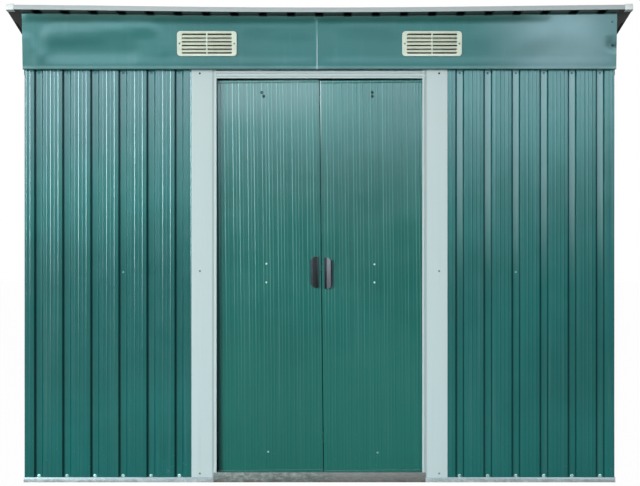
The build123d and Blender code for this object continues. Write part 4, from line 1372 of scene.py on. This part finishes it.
class SHED_OT_screws(bpy.types.Operator):
    """Screws with washers in the valleys, and plain screws in the jambs, doors and fascia"""
    bl_idname = "shed.screws"
    bl_label = "Screws"

    def head(self, radius, height, washer=0.0):
        """A domed screw head with a dip and, if asked, a washer. It looks along -Y from the origin."""
        def front(made):
            return made.normal.y < -0.9

        dome = cylinder(14, radius, height, (0, -height / 2, 0))
        edit(dome)
        pick(dome, "FACE", front)
        bpy.ops.mesh.bevel(offset=height * 0.55, segments=2, affect="EDGES")
        pick(dome, "FACE", front)
        bpy.ops.mesh.inset(thickness=radius * 0.45, depth=-height * 0.35)
        if not washer:
            return dome
        disc = cylinder(16, washer, 0.0016, (0, -0.0008, 0))
        edit(disc)
        pick(disc, "FACE", front)
        bpy.ops.mesh.inset(thickness=washer * 0.35, depth=0.0006)
        return joined([dome, disc])

    def spread(self, head, places, turn, name, body, kind, slot):
        """Copies of a head at its places, turned to face out of a wall and joined to one piece."""
        copies = []
        for place in places:
            made = copied(head)
            made.rotation_euler = (0, 0, turn)
            made.location = place
            settle(made)
            copies.append(made)
        dressed(joined(copies), name, body, kind, slot)

    def execute(self, context):
        sheet, door = context.scene.shed_sheet, context.scene.shed_door
        wall = self.head(radius=0.0036, height=0.0030, washer=0.0066)
        plain, broad = (self.head(radius=door.screw * size, height=0.0020) for size in (1.0, 1.5))
        low_row, top_row, brace_row = WALL_LOW + 0.004, WALL_TOP - 0.012, 0.808
        floor_y = sheet.depth - GAP
        valleys = [(i - 10) * sheet.pitch for i in range(21)]
        jamb = low("jamb_right")
        front = [x for x in valleys if abs(x) > jamb.x + 0.10]
        braced = [x for x in front if 0.70 < abs(x) < 0.80]
        for head, row, z, name, kind, slot in (
            (wall, front, low_row, "", "pale screw", "galvanised"),
            (plain, braced, brace_row, "_brace", "dull screw", "galvanised"),
            (plain, front, top_row, "_top", "painted screw", "green_paint"),
        ):
            places = [(x, FRONT_Y + floor_y, z) for x in row]
            self.spread(head, places, 0, "front_wall" + name + "_screws", "shed", kind, slot)
        places = [(x, REAR_Y - floor_y, z) for x in valleys for z in (low_row, top_row)]
        places += [(x, REAR_Y - floor_y, brace_row) for x in valleys[1::3]]
        self.spread(wall, places, pi, "rear_wall_screws", "shed", "steel screw", "galvanised")
        side_valleys = [MIDDLE_Y + (i - 5) * sheet.pitch for i in range(11)]
        for side, turn, name in ((-1, -pi / 2, "left_wall_screws"), (1, pi / 2, "right_wall_screws")):
            places = [(side * (SIDE_X - floor_y), y, z) for y in side_valleys for z in (low_row, top_row)]
            places += [(side * (SIDE_X - floor_y), y, brace_row) for y in side_valleys[1::4]]
            self.spread(wall, places, turn, name, "shed", "steel screw", "galvanised")
        jamb_line = 0.4600
        for name, kind, heights in (("jamb_top_screws", "dark screw", [1.572]),
                                    ("jamb_screws", "grey screw", [0.034, 0.812])):
            places = [(x, jamb.y + 0.0004, z) for x in (-jamb_line, jamb_line) for z in heights]
            self.spread(plain, places, 0, name, "shed", kind, "galvanised")
        face = low("right_door_sheet").y + door.rib_height + 0.0006
        for body, spots in (
            ("left_door", [(-0.2228, 1.502), (-0.2158, 1.487), (-0.2050, 0.840), (-0.2050, 0.768),
                           (-0.1985, 0.113)]),
            ("right_door", [(0.2040, 1.502), (0.2040, 1.487), (0.2127, 0.838), (0.2127, 0.768),
                            (0.2246, 0.110)]),
        ):
            places = [(x, face, z) for x, z in spots]
            self.spread(broad, places[:2], 0, body + "_top_screws", body, "dark screw", "galvanised")
            self.spread(plain, places[2:], 0, body + "_screws", body, "pale screw", "galvanised")
        places = []
        for node in ("vent_left", "vent_right"):
            near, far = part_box(node)
            face, level = (near.y + far.y) / 2 - 0.0026, (near.z + far.z) / 2
            places += [(near.x + 0.0095, face, level), (far.x - 0.0095, face, level)]
        self.spread(plain, places, 0, "vent_screws", "shed", "grey screw", "galvanised")
        near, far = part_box("fascia_left")
        slope = FASCIA_LEAN / (far.z - near.z)
        spots = [(-0.574, 1.764), (-0.574, 1.600), (-1.118, 1.752), (-1.118, 1.616), (0.571, 1.762), (0.568, 1.600),
                 (1.118, 1.765), (1.120, 1.676), (1.116, 1.611), (-0.030, 1.764), (-0.030, 1.602)]
        places = [(x, near.y + FASCIA_LEAN - slope * (z - near.z) + 0.0022, z) for x, z in spots]
        self.spread(plain, places, 0, "fascia_screws", "shed", "dark screw", "galvanised")
        for used in (wall, plain, broad):
            discard(used)
        return {"FINISHED"}


class SHED_OT_studio(bpy.types.Operator):
    """Pale floor, soft light and the camera"""
    bl_idname = "shed.studio"
    bl_label = "Studio"

    def lamp(self, name, place, aim, size, radiance, colour, only):
        """A soft rectangular lamp that looks at a point. It may only light things, or only be reflected."""
        deselect()
        bpy.ops.object.light_add(type="AREA", location=place)
        lamp = bpy.context.object
        lamp.name = name
        lamp.rotation_euler = (Vector(aim) - Vector(place)).to_track_quat("-Z", "Y").to_euler()
        lamp.data.shape = "RECTANGLE"
        lamp.data.size, lamp.data.size_y = size
        lamp.data.energy = radiance * pi * size[0] * size[1]
        lamp.data.color = colour
        lamp.visible_camera = False
        lamp.visible_glossy = only != "diffuse"
        lamp.visible_diffuse = only != "glossy"

    def execute(self, context):
        scene, studio = context.scene, context.scene.shed_studio
        deselect()
        bpy.ops.mesh.primitive_plane_add(size=60)
        ground = bpy.context.object
        ground.name = "studio_floor"
        edit(ground, True)
        bpy.ops.mesh.subdivide(number_cuts=3)
        deselect()
        recipe = Recipe("studio floor")
        path = recipe.node("ShaderNodeLightPath", output="Is Camera Ray")
        x, y, _ = recipe.axes(recipe.place())
        inside = (abs(x) < SIDE_X) * (abs(y - MIDDLE_Y) < (REAR_Y - FRONT_Y) / 2)
        seen = path * 0.985 + path.out("Is Glossy Ray") * 0.12 + path.out("Is Transmission Ray") * 0.95
        cloud = recipe.noise(recipe.place(), 1.5, 3.0)
        pale = recipe.blend(cloud, (0.30, 0.30, 0.29), (0.34, 0.34, 0.33))
        matt = recipe.node("ShaderNodeBsdfDiffuse", {}, {"Color": pale})
        white = recipe.node("ShaderNodeEmission", {}, {"Color": (1, 1, 1, 1), "Strength": 1.0})
        both = recipe.node("ShaderNodeMixShader", {}, {0: seen * (1 - inside), 1: matt, 2: white})
        recipe.node("ShaderNodeOutputMaterial", {}, {"Surface": both})
        ground.data.materials.append(recipe.owner)
        bpy.ops.mesh.primitive_cylinder_add(vertices=48, radius=10, depth=studio.horizon, end_fill_type="NOTHING",
                                            location=(0, 0, studio.horizon / 2))
        ring = bpy.context.object
        ring.name = "studio_horizon"
        settle(ring)
        recipe = Recipe("studio horizon")
        dusk = recipe.blend(recipe.noise(recipe.place(), 1.2, 5.0), (0.010, 0.022, 0.020), (0.030, 0.050, 0.045))
        recipe.coat({"Base Color": dusk, "Roughness": 0.9})
        ring.data.materials.append(recipe.owner)
        for ray in ("camera", "diffuse", "transmission", "shadow"):
            setattr(ring, "visible_" + ray, False)
        air = Recipe("studio world", "worlds")
        rays = air.node("ShaderNodeLightPath", output="Is Camera Ray")
        seen = rays + rays.out("Is Glossy Ray") + rays.out("Is Transmission Ray")
        strength = air.node("ShaderNodeMapRange", {}, {"Value": seen, "To Min": studio.ambient, "To Max": 1.0})
        glow = air.node("ShaderNodeBackground", {}, {"Color": (1, 1, 1, 1), "Strength": strength})
        air.node("ShaderNodeOutputWorld", {}, {"Surface": glow})
        scene.world = air.owner
        plain, sky_blue = (1, 1, 1), (0.64, 0.86, 1.0)
        for lamp in (
            ("key", (-4.6, -6.8, 2.3), (0.2, -0.5, 0.9), (3.0, 2.4), studio.key, (1.0, 1.0, 0.98), "diffuse"),
            ("fill", (1.0, -9.0, 2.2), (0, -0.6, 0.9), (11.0, 3.4), 2.1, (0.86, 0.95, 1.0), "diffuse"),
            ("low_sky", (0, -9.0, 3.6), (0, -0.6, 1.4), (13.0, 3.4), studio.sky, sky_blue, "glossy"),
            ("left_sky", (-5.2, -4.6, 2.3), (0, -0.6, 1.2), (2.2, 2.8), studio.side, (0.68, 0.94, 1.0), "glossy"),
            ("overhead", (0, 0.2, 5.5), (0, 0, 0.9), (5.0, 4.0), 0.6, plain, None),
            ("rear_lamp", (3.0, 6.5, 3.2), (0, 0.4, 0.9), (5.0, 2.5), 1.0, plain, None),
            ("right_lamp", (6.5, 0.8, 3.0), (0.4, 0, 0.9), (3.0, 2.0), 0.8, plain, None),
        ):
            self.lamp(*lamp)
        deselect()
        bpy.ops.object.camera_add(location=(0.002, FRONT_Y - studio.distance, studio.eye_height),
                                  rotation=(pi / 2, 0, 0))
        camera = bpy.context.object
        camera.data.lens = studio.lens
        scene.camera = camera
        scene.view_settings.view_transform = "Standard"
        return {"FINISHED"}


OPERATORS = (
    SHED_OT_wall_sheets, SHED_OT_door_leaves, SHED_OT_doorway, SHED_OT_fascia, SHED_OT_vents, SHED_OT_handles,
    SHED_OT_roof, SHED_OT_base, SHED_OT_steelwork, SHED_OT_screws, SHED_OT_studio,
)
GROUPS = {
    "shed_sheet": SheetSizes, "shed_door": DoorSizes, "shed_pull": PullSizes, "shed_vent": VentSizes,
    "shed_finishes": Finishes, "shed_studio": StudioSizes,
}


class SHED_PT_pieces(bpy.types.Panel):
    """Sizes, colours and pieces of the shed"""
    bl_label = "Shed"
    bl_idname = "SHED_PT_pieces"
    bl_space_type = "VIEW_3D"
    bl_region_type = "UI"
    bl_category = "Shed"

    def draw(self, context):
        for name in GROUPS:
            box = self.layout.box()
            group = getattr(context.scene, name)
            for key in group.bl_rna.properties.keys():
                if key not in ("rna_type", "name"):
                    box.prop(group, key)
        for operator in OPERATORS:
            self.layout.operator(operator.bl_idname)


def register():
    for name, group in GROUPS.items():
        bpy.utils.register_class(group)
        setattr(bpy.types.Scene, name, bpy.props.PointerProperty(type=group))
    for operator in OPERATORS:
        bpy.utils.register_class(operator)
    bpy.utils.register_class(SHED_PT_pieces)


def unregister():
    bpy.utils.unregister_class(SHED_PT_pieces)
    for operator in reversed(OPERATORS):
        bpy.utils.unregister_class(operator)
    for name, group in GROUPS.items():
        delattr(bpy.types.Scene, name)
        bpy.utils.unregister_class(group)


def main():
    """Registers the add-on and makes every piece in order."""
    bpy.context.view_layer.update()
    register()
    for operator in OPERATORS:
        group, move = operator.bl_idname.split(".")
        getattr(getattr(bpy.ops, group), move)()


if __name__ == "__main__":
    main()
